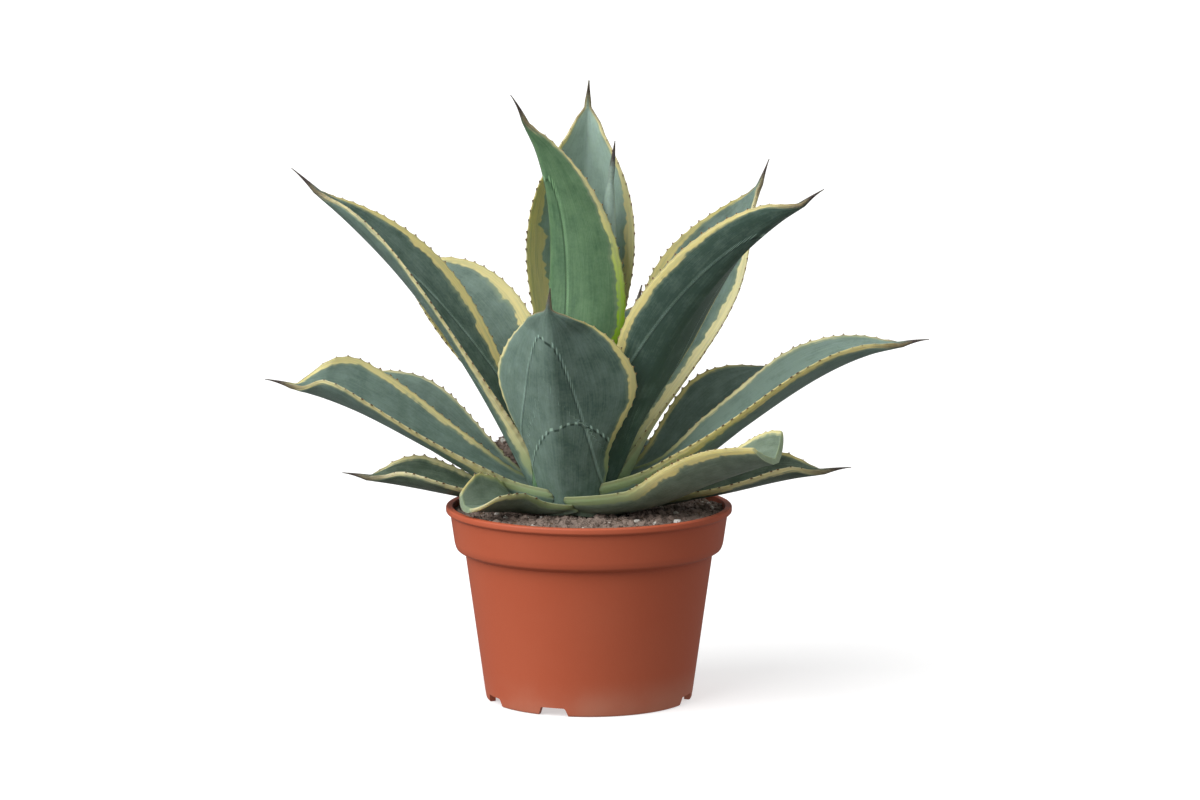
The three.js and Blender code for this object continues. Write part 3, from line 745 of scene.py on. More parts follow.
class Tone(Enum):
    """Colourings that the leaves of one plant have; the young one is partly painted light and the low one
    partly painted shade.
    """

    BLUE = LeafFinish("leaf_blue_green")
    FRESH = LeafFinish("leaf_fresh_green", body=(0.050, 0.120, 0.060), bloom=(0.165, 0.290, 0.150))
    # Paler young tissue, its bloom raised further to stand for the light that the back leaf and the bud
    # catch: partly painted light.
    YOUNG_AND_PAINTED_LIGHT = LeafFinish("leaf_young_and_painted_light", body=(0.160, 0.245, 0.190), bloom=(0.370, 0.500, 0.430))
    # The low leaves' greener, duller tone, made for leaves in the shade of those above: partly their own
    # colour, partly painted shade.
    LOW = LeafFinish("leaf_low_shaded_green", body=(0.070, 0.105, 0.070), bloom=(0.215, 0.280, 0.210))


# ---- repeats ------------------------------------------------------------------------------
class Repeats:
    """Geometry node trees for the teeth and for what lies on the soil."""

    TOOTH_BASE = 0.85
    TOOTH_FLATNESS = 0.4
    TOOTH_HOOK = 0.3

    def __init__(self) -> None:
        """Builds both trees."""
        self.teeth = self._teeth()
        self.lumps = self._lumps()

    @staticmethod
    def _finish(graph: Graph, instances: Wire, material: Wire) -> Tree:
        """Ends a tree in Realize Instances and Set Material."""
        real = graph.wire("GeometryNodeRealizeInstances", {"Geometry": instances})
        return graph.ends(Geometry=graph.wire("GeometryNodeSetMaterial",
                                              {"Geometry": real, "Material": material}))

    def _teeth(self) -> Tree:
        """A hooked, flattened tooth on every seat; seats carry aim, run and size."""
        graph, (seats, material) = new_tree("Geometry", "Margin teeth", "Geometry Material", "Geometry")
        cone = graph.wire("GeometryNodeMeshCone", {
            "Vertices": 8, "Side Segments": 4, "Radius Top": 0.04, "Radius Bottom": 1.0,
            "Depth": 1.0}, "Mesh")
        x, y, z = graph.parts(graph.wire("GeometryNodeInputPosition"))
        bow = graph.math("MAXIMUM", z, 0.0) ** 1.6 * self.TOOTH_HOOK
        thin = y * self.TOOTH_BASE * self.TOOTH_FLATNESS
        shaped = graph.wire("GeometryNodeSetPosition", {
            "Geometry": cone, "Position": graph.vector(x * self.TOOTH_BASE + bow, thin, z)})
        tooth = graph.wire("GeometryNodeStoreNamedAttribute", {
            "Geometry": shaped, "Name": "detail", "Value": graph.vector(FAR, 0.0, z)},
            data_type="FLOAT_VECTOR", domain="POINT")
        up = graph.wire("FunctionNodeAlignRotationToVector",
                        {"Vector": self._named(graph, "aim", "FLOAT_VECTOR")}, axis="Z")
        turn = graph.wire("FunctionNodeAlignRotationToVector", {
            "Rotation": up, "Vector": self._named(graph, "run", "FLOAT_VECTOR")},
            axis="X", pivot_axis="Z")
        placed = graph.wire("GeometryNodeInstanceOnPoints", {
            "Points": seats, "Instance": tooth, "Rotation": turn,
            "Scale": self._named(graph, "size", "FLOAT")})
        return self._finish(graph, placed, material)

    def _lumps(self) -> Tree:
        """Irregular lumps strewn over a surface, thickest where its cover attribute is 1."""
        graph, (surface, density, seed, smallest, largest, length, rough, fineness, material) = new_tree(
            "Geometry", "Strewn lumps",
            "Geometry Density Seed Smallest Largest Length Roughness Fineness Material", "Geometry")
        points = graph.wire("GeometryNodeDistributePointsOnFaces", {
            "Mesh": surface, "Density": density * self._named(graph, "cover", "FLOAT"), "Seed": seed},
            "Points")
        ball = graph.wire("GeometryNodeMeshIcoSphere", {"Radius": 1.0, "Subdivisions": fineness})
        noise = graph.wire("ShaderNodeTexNoise", {
            "Vector": graph.wire("GeometryNodeInputPosition"), "Scale": 1.3, "Detail": 2.0}, "Color")
        centred = graph.wire("ShaderNodeVectorMath", {0: noise, 1: (0.5, 0.5, 0.5)},
                             operation="SUBTRACT")
        uneven = graph.wire("ShaderNodeVectorMath", {0: centred, "Scale": rough * 4.0},
                            operation="SCALE")
        lump = graph.wire("GeometryNodeSetPosition", {"Geometry": ball, "Offset": uneven})
        size = smallest + (largest - smallest) * self._chance(graph, seed + 11) ** 2.5
        spin = graph.wire("FunctionNodeRandomValue", {
            0: (-0.5, -0.5, 0.0), 1: (0.5, 0.5, 2 * math.pi), "Seed": seed}, data_type="FLOAT_VECTOR")
        placed = graph.wire("GeometryNodeInstanceOnPoints", {
            "Points": points, "Instance": lump,
            "Rotation": graph.wire("FunctionNodeEulerToRotation", {0: spin}),
            "Scale": graph.vector(size * length, size, size)})
        toned = graph.wire("GeometryNodeStoreNamedAttribute", {
            "Geometry": placed, "Name": "tone", "Value": self._chance(graph, seed + 23)},
            data_type="FLOAT", domain="INSTANCE")
        return self._finish(graph, toned, material)

    @staticmethod
    def _named(graph: Graph, name: str, kind: str) -> Wire:
        """Named attribute in a geometry tree."""
        return graph.wire("GeometryNodeInputNamedAttribute", {"Name": name}, "Attribute",
                          data_type=kind)

    @staticmethod
    def _chance(graph: Graph, seed: Wire) -> Wire:
        """Random number from 0 to 1 for each point."""
        return graph.wire("FunctionNodeRandomValue", {2: 0.0, 3: 1.0, "Seed": seed}, 1,
                          data_type="FLOAT")

    @staticmethod
    def run(carrier: Object, tree: Tree, **values: Any) -> Object:
        """Runs a tree on a carrier and makes the result a plain mesh.

        Args:
            carrier: object with the seats or the surface.
            tree: geometry node tree.
            values: values of the tree's inputs by name.

        Returns:
            The carrier with the result as its mesh.
        """
        modifier = carrier.modifiers.new(tree.name, "NODES")
        modifier.node_group = tree
        for item in tree.interface.items_tree:
            if item.in_out == "INPUT" and item.name in values:
                modifier[item.identifier] = values[item.name]
        return applied(carrier)


# ---- pot ----------------------------------------------------------------------------------
@dataclass(frozen=True)
class Pot:
    """The nursery pot: lip, band, tapering wall, raised floor, foot notches and drain holes."""

    height: float = 143.0
    lip_radius: float = 105.0
    band_top_radius: float = 101.8
    band_foot_radius: float = 98.5
    band_foot_height: float = 115.0
    wall_top_radius: float = 91.0
    wall_top_height: float = 108.5
    foot_radius: float = 76.5
    wall: float = 2.2
    floor_height: float = 7.0
    floor_thickness: float = 2.4
    notch_height: float = 6.0
    notch_width: float = 22.0
    notch_reach: Pair = (60.0, 84.0)
    notch_headings: tuple[int, ...] = (160, 205, 250, 340, 25, 70)
    notch_flare: Pair = (1.2, 1.8)
    notch_round: float = 1.6
    drain_radius: float = 5.5
    drain_ring: float = 46.0
    drain_heading: float = 25.0
    drain_facets: int = 32
    past: float = 2.0
    crease: float = 38.0
    facets: int = 240

    def outside(self) -> list[Three]:
        """Outer corners from the foot to the lip: radius, height and rounding."""
        top = self.height
        return [
            (self.foot_radius - 0.8, 0.0, 1.2),
            (self.foot_radius + 0.1, 5.0, 3.0),
            (self.wall_top_radius, self.wall_top_height, 0.6),
            (self.band_foot_radius - 1.2, self.band_foot_height - 3.6, 1.6),
            (self.band_foot_radius + 0.2, self.band_foot_height + 0.6, 1.6),
            (self.band_top_radius, top - 6.0, 0.8),
            (self.lip_radius, top - 4.2, 1.0),
            (self.lip_radius, top, 1.4),
        ]

    def inside(self) -> list[Three]:
        """Inner corners from the lip down to the floor: radius, height and rounding."""
        thin = self.wall
        return [
            (self.band_top_radius - thin + 0.3, self.height, 0.9),
            (self.band_foot_radius - thin, self.band_foot_height - 0.5, 1.0),
            (self.wall_top_radius - thin, self.wall_top_height - 1.5, 1.0),
            (self.foot_radius - thin, self.floor_height + self.floor_thickness, 1.5),
        ]

    def inside_radius(self, height: float) -> float:
        """Radius of the pot's inner side at a height."""
        radii, heights, _ = zip(*self.inside()[::-1])
        return float(np.interp(height, heights, radii))

    def build(self) -> Object:
        """The pot as one closed mesh."""
        ring = self.foot_radius - self.wall
        under = [(ring - 2.4, self.floor_height, 0.6), (ring - 3.2, 0.0, 0.6)]
        outline = rounded([*under, *self.outside(), *self.inside()])
        rings = np.array([circle(radius, height, self.facets) for radius, height in outline])
        floor = self.floor_height + self.floor_thickness
        piece = new_object("pot_moulding", *pointed(rings, self.floor_height, floor))
        cutters = bpy.data.collections.new("pot cutters")
        for heading in self.notch_headings:
            cutters.objects.link(self._notch(heading))
        for k in range(7):
            turn = math.radians(60 * k + self.drain_heading)
            reach = 0.0 if k == 6 else self.drain_ring
            spot = (reach * math.cos(turn), reach * math.sin(turn))
            ends = [circle(self.drain_radius, height, self.drain_facets, spot)
                    for height in (self.floor_height - self.past, floor + self.past)]
            cutters.objects.link(capped("drain", np.array(ends)))
        cut_by(piece, cutters, self.crease)
        remove_all(cutters)
        return piece

    def _notch(self, heading: float) -> Object:
        """Prism that cuts one notch through the foot ring, wider at the bottom."""
        low = self.notch_width / 2 + self.notch_flare[0]
        high = self.notch_width / 2 - self.notch_flare[1]
        section = rounded([(-low, -self.past, 0.0), (low, -self.past, 0.0),
                           (high, self.notch_height, self.notch_round),
                           (-high, self.notch_height, self.notch_round)])
        turn = math.radians(heading)
        facing = np.array([math.cos(turn), math.sin(turn), 0.0])
        side = np.array([-facing[1], facing[0], 0.0])
        ends = [[facing * reach + side * y + UPRIGHT * z for y, z in section]
                for reach in self.notch_reach]
        return capped("notch", np.array(ends))


# ---- soil ---------------------------------------------------------------------------------
@dataclass(frozen=True)
class Soil:
    """Potting mix that fills the pot, heaped at the back left, with crumbs, fibres and perlite."""

    pot: Pot
    level: float = 138.6
    mound_at: Pair = (-58.0, 60.0)
    mound_radius: float = 25.0
    mound_height: float = 47.0
    pitch: float = 1.6
    facets: int = 200
    lower_rings: tuple[float, ...] = (125.0, 114.5, 107.0, 60.0)
    base: float = 9.7
    gap: float = 0.3
    stem_at: Pair = (-3.0, 2.0)
    bare_radius: float = 27.0
    bare_rim: float = 0.8
    cover_depth: float = 4.0

    def height(self, x: Array, y: Array) -> Array:
        """Height of the soil's top: level, slightly uneven, with the mound."""
        uneven = (0.9 * np.sin(0.11 * x + 0.6) * np.cos(0.13 * y) + 0.6 * np.sin(0.21 * y + 0.17 * x))
        away = np.hypot(x - self.mound_at[0], y - self.mound_at[1]) / self.mound_radius
        fall = ease((self.pot.inside_radius(self.level) - np.hypot(x, y)) / 9)
        heap = self.mound_height * fall * np.maximum(1 - away * away, 0) ** 0.7
        crumbly = 0.5 * np.sin(1.3 * x + 0.9 * np.sin(0.8 * y)) * np.sin(1.1 * y + 0.7 * np.sin(0.9 * x))
        return self.level + uneven + heap + crumbly

    def body(self) -> Object:
        """The soil as one closed mesh with its cover and tone."""
        edge = self.pot.inside_radius(self.level) - self.gap
        radii = [*np.arange(self.pitch, edge, self.pitch), edge]
        rings = [circle(radius, 0.0, self.facets) for radius in radii]
        for ring in rings:
            ring[:, 2] = self.height(ring[:, 0], ring[:, 1])
        rings += [circle(self.pot.inside_radius(height) - self.gap, height, self.facets)
                  for height in (*self.lower_rings, self.base)]
        corners, faces = pointed(np.array(rings), float(self.height(0.0, 0.0)), self.base)
        x, y, z = corners.T
        near_wall = ease((edge - self.bare_rim - np.hypot(x, y)) / 1.5)
        stem = np.hypot(x - self.stem_at[0], y - self.stem_at[1])
        cover = (z > self.level - self.cover_depth) * near_wall * ease((stem - self.bare_radius) / 3)
        tone = 0.25 + 0.2 * waves(x / 9 + y / 13, 5)
        return new_object("soil_bed", corners, faces, {"cover": cover, "tone": tone})

    def build(self, repeats: Repeats, groups: ShaderGroups) -> None:
        """Builds the soil, its perlite and its fibres; bed and crumbs wear the frame's plain material."""
        peat = bpy.data.materials["potting_soil"]
        perlite = SoilFinish("perlite", dark=(0.42, 0.38, 0.33), light=(0.80, 0.78, 0.74),
                             grain=900.0).material(groups)
        fibre = SoilFinish("soil_fibre", dark=(0.10, 0.06, 0.035),
                           light=(0.34, 0.22, 0.13)).material(groups)
        body, strewn = self.body(), []
        keys = ("Density", "Seed", "Smallest", "Largest", "Length", "Roughness", "Fineness")
        for name, material, *values in (
            ("crumbs", peat, 180000.0, 3, 0.45 * MM, 1.7 * MM, 1.2, 0.45, 1),
            ("lumps", peat, 17000.0, 8, 1.2 * MM, 3.4 * MM, 1.3, 0.5, 2),
            ("soil_perlite", perlite, 4600.0, 21, 0.5 * MM, 2.3 * MM, 1.2, 0.4, 2),
            ("soil_fibres", fibre, 11000.0, 34, 0.16 * MM, 0.4 * MM, 14.0, 0.6, 1),
        ):
            carrier = link(bpy.data.objects.new(name, body.data.copy()))
            strewn.append(Repeats.run(carrier, repeats.lumps, Material=material,
                                      **dict(zip(keys, values))))
        crumbs, lumps, white, fibres = strewn
        joined(body, crumbs, lumps)
        dressed(body, peat, "potting_soil", "soil")
        dressed(white, perlite, "potting_soil")
        dressed(fibres, fibre, "potting_soil")


# ---- leaves -------------------------------------------------------------------------------
# Lengths are in millimetres and angles in degrees; NECK_AT, OPENS_AT and FIRST_TOOTH are shares of
# a leaf's length.
STEM_AT = np.array([-3.0, 2.0, 0.0])
NECK_AT = 0.14
MARGIN_THICKNESS = 0.9
SPINE_RADIUS = 2.3
SPINE_POINT = 0.3
SPINE_FLARE = 1.4
SPINE_BLEND = 7.0
DRAW_IN = 0.3
OPENS_FLAT = 0.75
FLAT_LENGTH = 24.0
OPENS_AT = 0.3
CLASP_RADIUS = 24.0
CLASP_LIFT = 0.1
HEEL_SLOPE = 60.0
TOOTH_HEIGHT = 1.7
TOOTH_SPACING = 7.6
TOOTH_SCATTER = 1.6
TOOTH_SIZES = (0.75, 1.15)
TOOTH_SUNK = 0.25
TOOTH_LEAN = 0.15
FIRST_TOOTH = 0.11
BARE_END = 9.0
LOBE_REACH = 0.75
LOBE_SPREAD = 2.1
EDGE_BULGE = 0.3
EDGE_CROWDING = 1.25
CREASE = 60.0
BLADE_COLUMNS = 41
BLADE_PITCH = 1.5
CUTTER_COLUMNS = 17
CUTTER_PITCH = 4.5
CUTTER_SWELL = 0.1
FEWEST_RINGS = 12
MIDRIB_STEPS = 880


def blade_fields(scar: Array, **vectors: Sequence[Array]) -> dict[str, Array]:
    """Point attributes for a leaf's finish: the scar, and vectors by the arrays of their parts."""
    fields = {key: np.stack(parts, axis=-1).reshape(-1, 3) for key, parts in vectors.items()}
    return {**fields, "scar": scar.ravel()}


@dataclass(frozen=True)
class Imprint:
    """Arch that a neighbour's margin has pressed into a blade.

    apex: distance of its top from the blade's root.  offset: its place left of the midrib.
    spread: how widely its legs part.
    """

    apex: float
    offset: float = 0.0
    spread: float = 12.0

    def field(self, x: Array, y: Array) -> tuple[Array, Array]:
        """Distance from the arch and run along it, in millimetres.

        Args:
            x: places left of the midrib.
            y: places along the blade.

        Returns:
            The distance, positive outside the arch, and the run from its top.
        """
        side = x - self.offset
        steep = np.sqrt(1 + (2 * side / self.spread) ** 2)
        distance = (y - self.apex + side * side / self.spread) / steep
        return distance, side * np.sqrt(1 + (side / self.spread) ** 2)


@dataclass(frozen=True)
class Band:
    """Variegated margin on one side of a blade, its widths in millimetres.

    foot, middle, end: width at the root, half way up and where the spine begins.  cream and the
    backlight share: shares of cream and of a yellow-green painted backlight in its yellow, the backlight
    standing for light shining through the thin margin.
    """

    foot: float = 4.0
    middle: float = 5.0
    end: float = 0.5
    cream: float = 0.35
    painted_backlight: float = 0.0

    def width(self, t: Array, along: Array, seed: int) -> Array:
        """Width of the band.

        Args:
            t: shares of the blade's length.
            along: distances from the root, in millimetres.
            seed: number of the band's own random pattern.

        Returns:
            The width at each place.
        """
        low = mix(self.foot, self.middle, ease(t / 0.5))
        wide = np.where(t < 0.5, low, mix(self.middle, self.end, ease((t - 0.5) / 0.45)))
        return wide * (1 + 0.22 * waves(along / 34, seed) + 0.14 * waves(along / 9, seed + 5))


@dataclass(frozen=True)
class Leaf:
    """One leaf: lengths in millimetres, angles in degrees, shares of its length from 0 to 1.

    heading: degrees from +X towards +Y.  root: distance from the plant's axis and height.
    rise: slope of the midrib at root, middle and tip.  width: half the blade's width at its
    belly.  lean, roll: sideways lean and twist.  fold: slope of each half at the midrib.  cup:
    further turn up to the left and right margin.  bands: the variegated margin, left and right.
    light: painted light and shade of the left and right halves, as the share of pale bloom.
    """

    name: str
    heading: float
    root: Pair
    length: float
    rise: Three
    width: float
    lean: float = 0.0
    roll: Three = (0, 0, 0)
    shift: Pair = (-3, 2)
    belly: float = 0.58
    neck: float = 0.5
    foot: Pair = (0.62, 0.62)
    full: float = 1.9
    taper: float = 1.35
    fold: Three = (18, 22, 50)
    cup: Pair = (25, 25)
    spine: float = 20
    cut: float = 1.0
    thick: float = 11
    heel: float = 6
    bands: tuple[Band, Band] = (Band(), Band())
    tone: Tone = Tone.BLUE
    # Painted light and shade: share of pale bloom on the left and right halves, standing for how the
    # light falls on each.
    light: Pair = (0.5, 0.5)
    imprints: tuple[Imprint, ...] = ()

    # -- shape --
    @property
    def seed(self) -> int:
        """Number of the leaf's own random pattern."""
        return int(self.heading * 7 + self.length)

    @property
    def spine_start(self) -> float:
        """Share of the length at which the terminal spine begins."""
        return 1 - self.spine / self.length

    def spine_radius(self, t: Array) -> Array:
        """Radius of the terminal spine, steady until the spine begins."""
        left = 1 - np.clip((t - self.spine_start) / (1 - self.spine_start), 0, 1)
        return mix(SPINE_POINT, SPINE_RADIUS, left ** SPINE_FLARE)

    def half_width(self, t: Array, u: Array) -> Array:
        """Half width of the blade, left (u > 0) or right: foot, neck, belly and run to the spine."""
        run = np.clip((t - self.belly) / (self.spine_start - self.belly), 0, 1)
        share = (1 - run ** self.full) ** (self.taper + DRAW_IN * run ** 8)
        widens = mix(self.neck, 1, ease((t - NECK_AT) / (self.belly - NECK_AT)))
        share = np.where(t < self.belly, widens, share)
        share = np.where(t < NECK_AT, mix(by_side(u, self.foot), self.neck, ease(t / NECK_AT)), share)
        return np.hypot(self.width * share, self.spine_radius(t))

    def midrib_thickness(self, t: Array) -> Array:
        """Thickness of the blade at its midrib."""
        grown = self.thick * (1 - 0.62 * ease(t / 0.55) - 0.2 * ease((t - 0.5) / 0.45))
        slim = np.minimum(grown, 0.84 * self.half_width(t, np.zeros_like(t)))
        return np.maximum(slim, 2 * self.spine_radius(t))

    def midrib(self) -> dict[str, Array]:
        """Midrib from the heel to the tip: share, place, along, left and up at each step."""
        begin = -self.heel / self.length
        t = np.linspace(begin, 1, MIDRIB_STEPS + 1)
        heading, tilt = math.radians(self.heading), math.radians(-self.lean)
        facing = np.array([math.cos(heading), math.sin(heading), 0.0])
        side = turned(np.array([[-facing[1], facing[0], 0.0]]), facing, tilt)[0]
        heel = mix(self.rise[0], HEEL_SLOPE, ease(-t * self.length / self.heel))
        slope = np.radians(np.where(t < 0, heel, through(self.rise, t)))
        along = np.cos(slope)[:, None] * facing + np.sin(slope)[:, None] * UPRIGHT
        along = turned(along, facing, tilt)
        moves = (along[1:] + along[:-1]) * (1 - begin) * self.length / MIDRIB_STEPS / 2
        place = np.concatenate([np.zeros((1, 3)), np.cumsum(moves, axis=0)])
        up = np.cross(along, side)
        roll = np.radians(through(self.roll, np.maximum(t, 0)))[:, None]
        root = np.array([*self.shift, self.root[1]]) + facing * self.root[0]
        start = np.array([np.interp(0, t, place[:, k]) for k in range(3)])
        return {"t": t, "place": place + root - start, "along": along,
                "left": side * np.cos(roll) + up * np.sin(roll),
                "up": up * np.cos(roll) - side * np.sin(roll)}

    @staticmethod
    def station(path: dict[str, Array], t: Array, key: str) -> Array:
        """One of the midrib's vectors at shares t of the length."""
        return np.stack([np.interp(t, path["t"], path[key][:, k]) for k in range(3)], axis=-1)

    def blade(self, path: dict[str, Array], t: Array, u: Array, swell: float = 0.0) -> dict[str, Array]:
        """Upper and lower corners of the blade.

        Args:
            path: the midrib.
            t: shares of the length.
            u: shares of the half width, positive to the left.
            swell: growth of the blade all round.

        Returns:
            Arrays upper, lower, outward and along, one vector for each t and u.
        """
        place, along, left, up = (self.station(path, t, key) for key in ("place", "along", "left", "up"))
        opened = ease(t / OPENS_AT)
        half = self.half_width(t, u)
        share, side = np.abs(u), np.where(u < 0, -1.0, 1.0)
        bend = 1 - OPENS_FLAT * ease(1 - (self.spine_start - t) * self.length / FLAT_LENGTH)
        fold = np.radians(through(self.fold, np.maximum(t, 0)) * bend)
        turn = np.radians(by_side(u, self.cup) * bend)
        slope = fold + turn * share
        out = (np.sin(slope) - np.sin(fold)) / turn
        lift = (np.cos(fold) - np.cos(slope)) / turn
        upper = place + left * (side * half * out * opened)[..., None]
        upper = upper + up * (half * lift * opened)[..., None]
        bent, facing = (slope * opened)[..., None], side[..., None]
        normal = up * np.cos(bent) - left * facing * np.sin(bent)
        outward = left * facing * np.cos(bent) + up * np.sin(bent)
        reach = np.hypot(place[..., 0] - STEM_AT[0], place[..., 1] - STEM_AT[1])
        clasp = side * share * half * (1 - opened) / np.maximum(reach, CLASP_RADIUS)
        upper = turned(upper - STEM_AT, UPRIGHT, clasp) + STEM_AT
        upper[..., 2] += CLASP_LIFT * half * share * share * (1 - opened)
        normal, outward = turned(normal, UPRIGHT, clasp), turned(outward, UPRIGHT, clasp)
        middle = self.midrib_thickness(t)
        crown = np.sqrt(np.maximum(0, 1 - share ** 2.2))
        depth = mix(np.minimum(MARGIN_THICKNESS, middle), middle, crown)[..., None]
        push = outward * (swell * (share == 1))[..., None]
        return {"upper": upper + normal * swell + push, "lower": upper - normal * (depth + swell) + push,
                "outward": outward, "along": along}

    def spine_ring(self, path: dict[str, Array], t: Array, u: Array, face: int, swell: float) -> Array:
        """Corners of the round terminal spine that continue the corners of the blade."""
        radius = self.spine_radius(t)[..., None]
        turn = (face * np.radians(90 - 72 * u))[..., None]
        place, left, up = (self.station(path, t, key) for key in ("place", "left", "up"))
        return place - up * radius + (left * np.cos(turn) + up * np.sin(turn)) * (radius + swell)

    # -- margins --
    def tooth_places(self, side: int) -> Array:
        """Distances from the root at which teeth stand on one margin."""
        draw = np.random.default_rng(self.seed + side)
        end = min(self.spine_start, self.cut) * self.length
        spots = np.arange(FIRST_TOOTH * self.length, end - BARE_END, TOOTH_SPACING)
        return spots + draw.uniform(-TOOTH_SCATTER, TOOTH_SCATTER, len(spots))

    def lobes(self, along: Array, u: Array) -> Array:
        """How far the margin stands out into a lobe under each tooth."""
        total = np.zeros(np.broadcast(along, u).shape)
        for side in (-1, 1):
            away = (along[..., None] - self.tooth_places(side)) / LOBE_SPREAD
            total += LOBE_REACH * np.exp(-away ** 2).sum(axis=-1) * ease((side * u - 0.9) / 0.1)
        return total

    def band_width(self, t: Array, u: Array) -> Array:
        """Width of the variegated margin."""
        return by_side(u, [band.width(t, t * self.length, self.seed + 11 * k)
                           for k, band in enumerate(self.bands)])

    def tint(self, t: Array, u: Array) -> list[Array]:
        """Cream, painted backlight and painted light of each place: the backlight fades half way up, and
        the painted light and shade is each half's own.
        """
        cream = by_side(u, [band.cream for band in self.bands])
        painted_backlight = by_side(u, [band.painted_backlight for band in self.bands]) * (1 - ease((t - 0.42) / 0.3))
        return [cream, painted_backlight, mix(self.light[1], self.light[0], ease((u + 0.06) / 0.12))]

    # -- mesh --
    def mesh(self, name: str, columns: int, pitch: float, swell: float = 0.0) -> Object:
        """The blade as a closed mesh with the attributes that its finish reads.

        Args:
            name: name of the object.
            columns: places across each face.
            pitch: distance between rings.
            swell: growth all round, for a cutter.

        Returns:
            The object.
        """
        path = self.midrib()
        begin = -self.heel / self.length
        rows = max(round((self.cut - begin) * self.length / pitch), FEWEST_RINGS) + 1
        line = np.linspace(-1, 1, columns)
        across = np.sign(line) * (1 - (1 - np.abs(line)) ** EDGE_CROWDING)
        t, u = np.meshgrid(np.linspace(begin, self.cut, rows), across, indexing="ij")
        made = self.blade(path, t, u, swell)
        upper, lower, outward = made["upper"], made["lower"], made["outward"]
        if swell == 0:
            stand = outward * self.lobes(t * self.length, u)[..., None]
            upper, lower = upper + stand, lower + stand
        if self.cut == 1:
            blend = ease((t - self.spine_start) * self.length / SPINE_BLEND + 1)[..., None]
            upper = mix(upper, self.spine_ring(path, t, u, 1, swell), blend)
            lower = mix(lower, self.spine_ring(path, t, u, -1, swell), blend)
        for row, push in ((0, -swell), (-1, swell)):
            for face in (upper, lower):
                face[row] += made["along"][row] * push
        edges = (upper + lower) / 2 + outward * EDGE_BULGE
        rings = np.concatenate([upper, edges[:, -1:], lower[:, ::-1], edges[:, :1]], axis=1)
        order = [*range(columns), columns - 1, *range(columns)[::-1], 0]
        faces = [*ring_faces(rows, len(order)), *self._caps(rows, columns)]
        return new_object(name, rings.reshape(-1, 3), faces, self._fields(t[:, order], u[:, order]))

    @staticmethod
    def _caps(rows: int, columns: int) -> Faces:
        """Faces that close the heel and the far end between the upper and lower corners."""
        last = 2 * columns
        caps: Faces = []
        for start, turn in ((0, 1), ((rows - 1) * (last + 2), -1)):
            strip = [(k, last - k, last - k - 1, k + 1) for k in range(columns - 1)]
            strip += [(0, last + 1, last), (columns - 1, columns + 1, columns)]
            caps += [tuple(start + corner for corner in face)[::turn] for face in strip]
        return caps

    def _fields(self, t: Array, u: Array) -> dict[str, Array]:
        """Attributes of the blade's corners for its finish."""
        zero, along, half = np.zeros_like(t), t * self.length, self.half_width(t, u)
        tip = (self.spine_start - t) * self.length if self.cut == 1 else zero + 200
        distance, run, scar = zero + FAR, zero, np.zeros_like(t)
        for imprint in self.imprints:
            near, length = imprint.field(u * half, along)
            closer = np.abs(near) < np.abs(distance)
            distance, run = np.where(closer, near, distance), np.where(closer, length, run)
        if self.cut < 1:
            scar[-1] = 1.0
        return blade_fields(
            scar, blade=(u, along, zero), detail=(distance, run, zero), tint=self.tint(t, u),
            margin=((1 - np.abs(u)) * half, self.band_width(t, u), tip))

    def seats(self) -> Object:
        """Points on both margins that carry the place, direction and size of each tooth."""
        path, end = self.midrib(), min(self.spine_start, self.cut)
        places, margins = [], []
        for side in (-1, 1):
            spots = self.tooth_places(side)
            t, u, zero = spots / self.length, np.full(len(spots), float(side)), np.zeros(len(spots))
            made = self.blade(path, t, u)
            stand = self.lobes(spots, u)[:, None] - TOOTH_SUNK
            places.append((made["upper"] + made["lower"]) / 2 + made["outward"] * stand)
            size = TOOTH_HEIGHT * (0.6 + 0.4 * ease(t / 0.25)) * (0.45 + 0.55 * ease((end - t) / 0.25))
            draw = np.random.default_rng(self.seed + 50 + side)
            margins.append({
                "aim": made["outward"] + TOOTH_LEAN * made["along"], "run": made["along"],
                "size": size * draw.uniform(*TOOTH_SIZES, len(spots)) * MM,
                **blade_fields(zero, blade=(u, spots, zero), tint=self.tint(t, u),
                               margin=(zero + 0.8, self.band_width(t, u), zero + FAR))})
        fields = {key: np.concatenate([margin[key] for margin in margins]) for key in margins[0]}
        return new_object(self.name + "_seats", np.concatenate(places), [], fields)

    def build(self, repeats: Repeats, material: Material, cutters: Collection) -> Object:
        """Builds and dresses the leaf, and adds its cutter to those of the leaves after it.

        Args:
            repeats: the geometry node trees.
            material: the leaf's material.
            cutters: grown copies of what keeps its shape where this leaf presses on it.

        Returns:
            The leaf.
        """
        piece = cut_by(self.mesh(self.name + "_blade", BLADE_COLUMNS, BLADE_PITCH), cutters, CREASE)
        joined(piece, Repeats.run(self.seats(), repeats.teeth, Material=material))
        cutter = self.mesh(self.name + "_cutter", CUTTER_COLUMNS, CUTTER_PITCH, CUTTER_SWELL)
        set_aside(cutter, cutters)
        return dressed(piece, material, "leaf_blade", self.name)


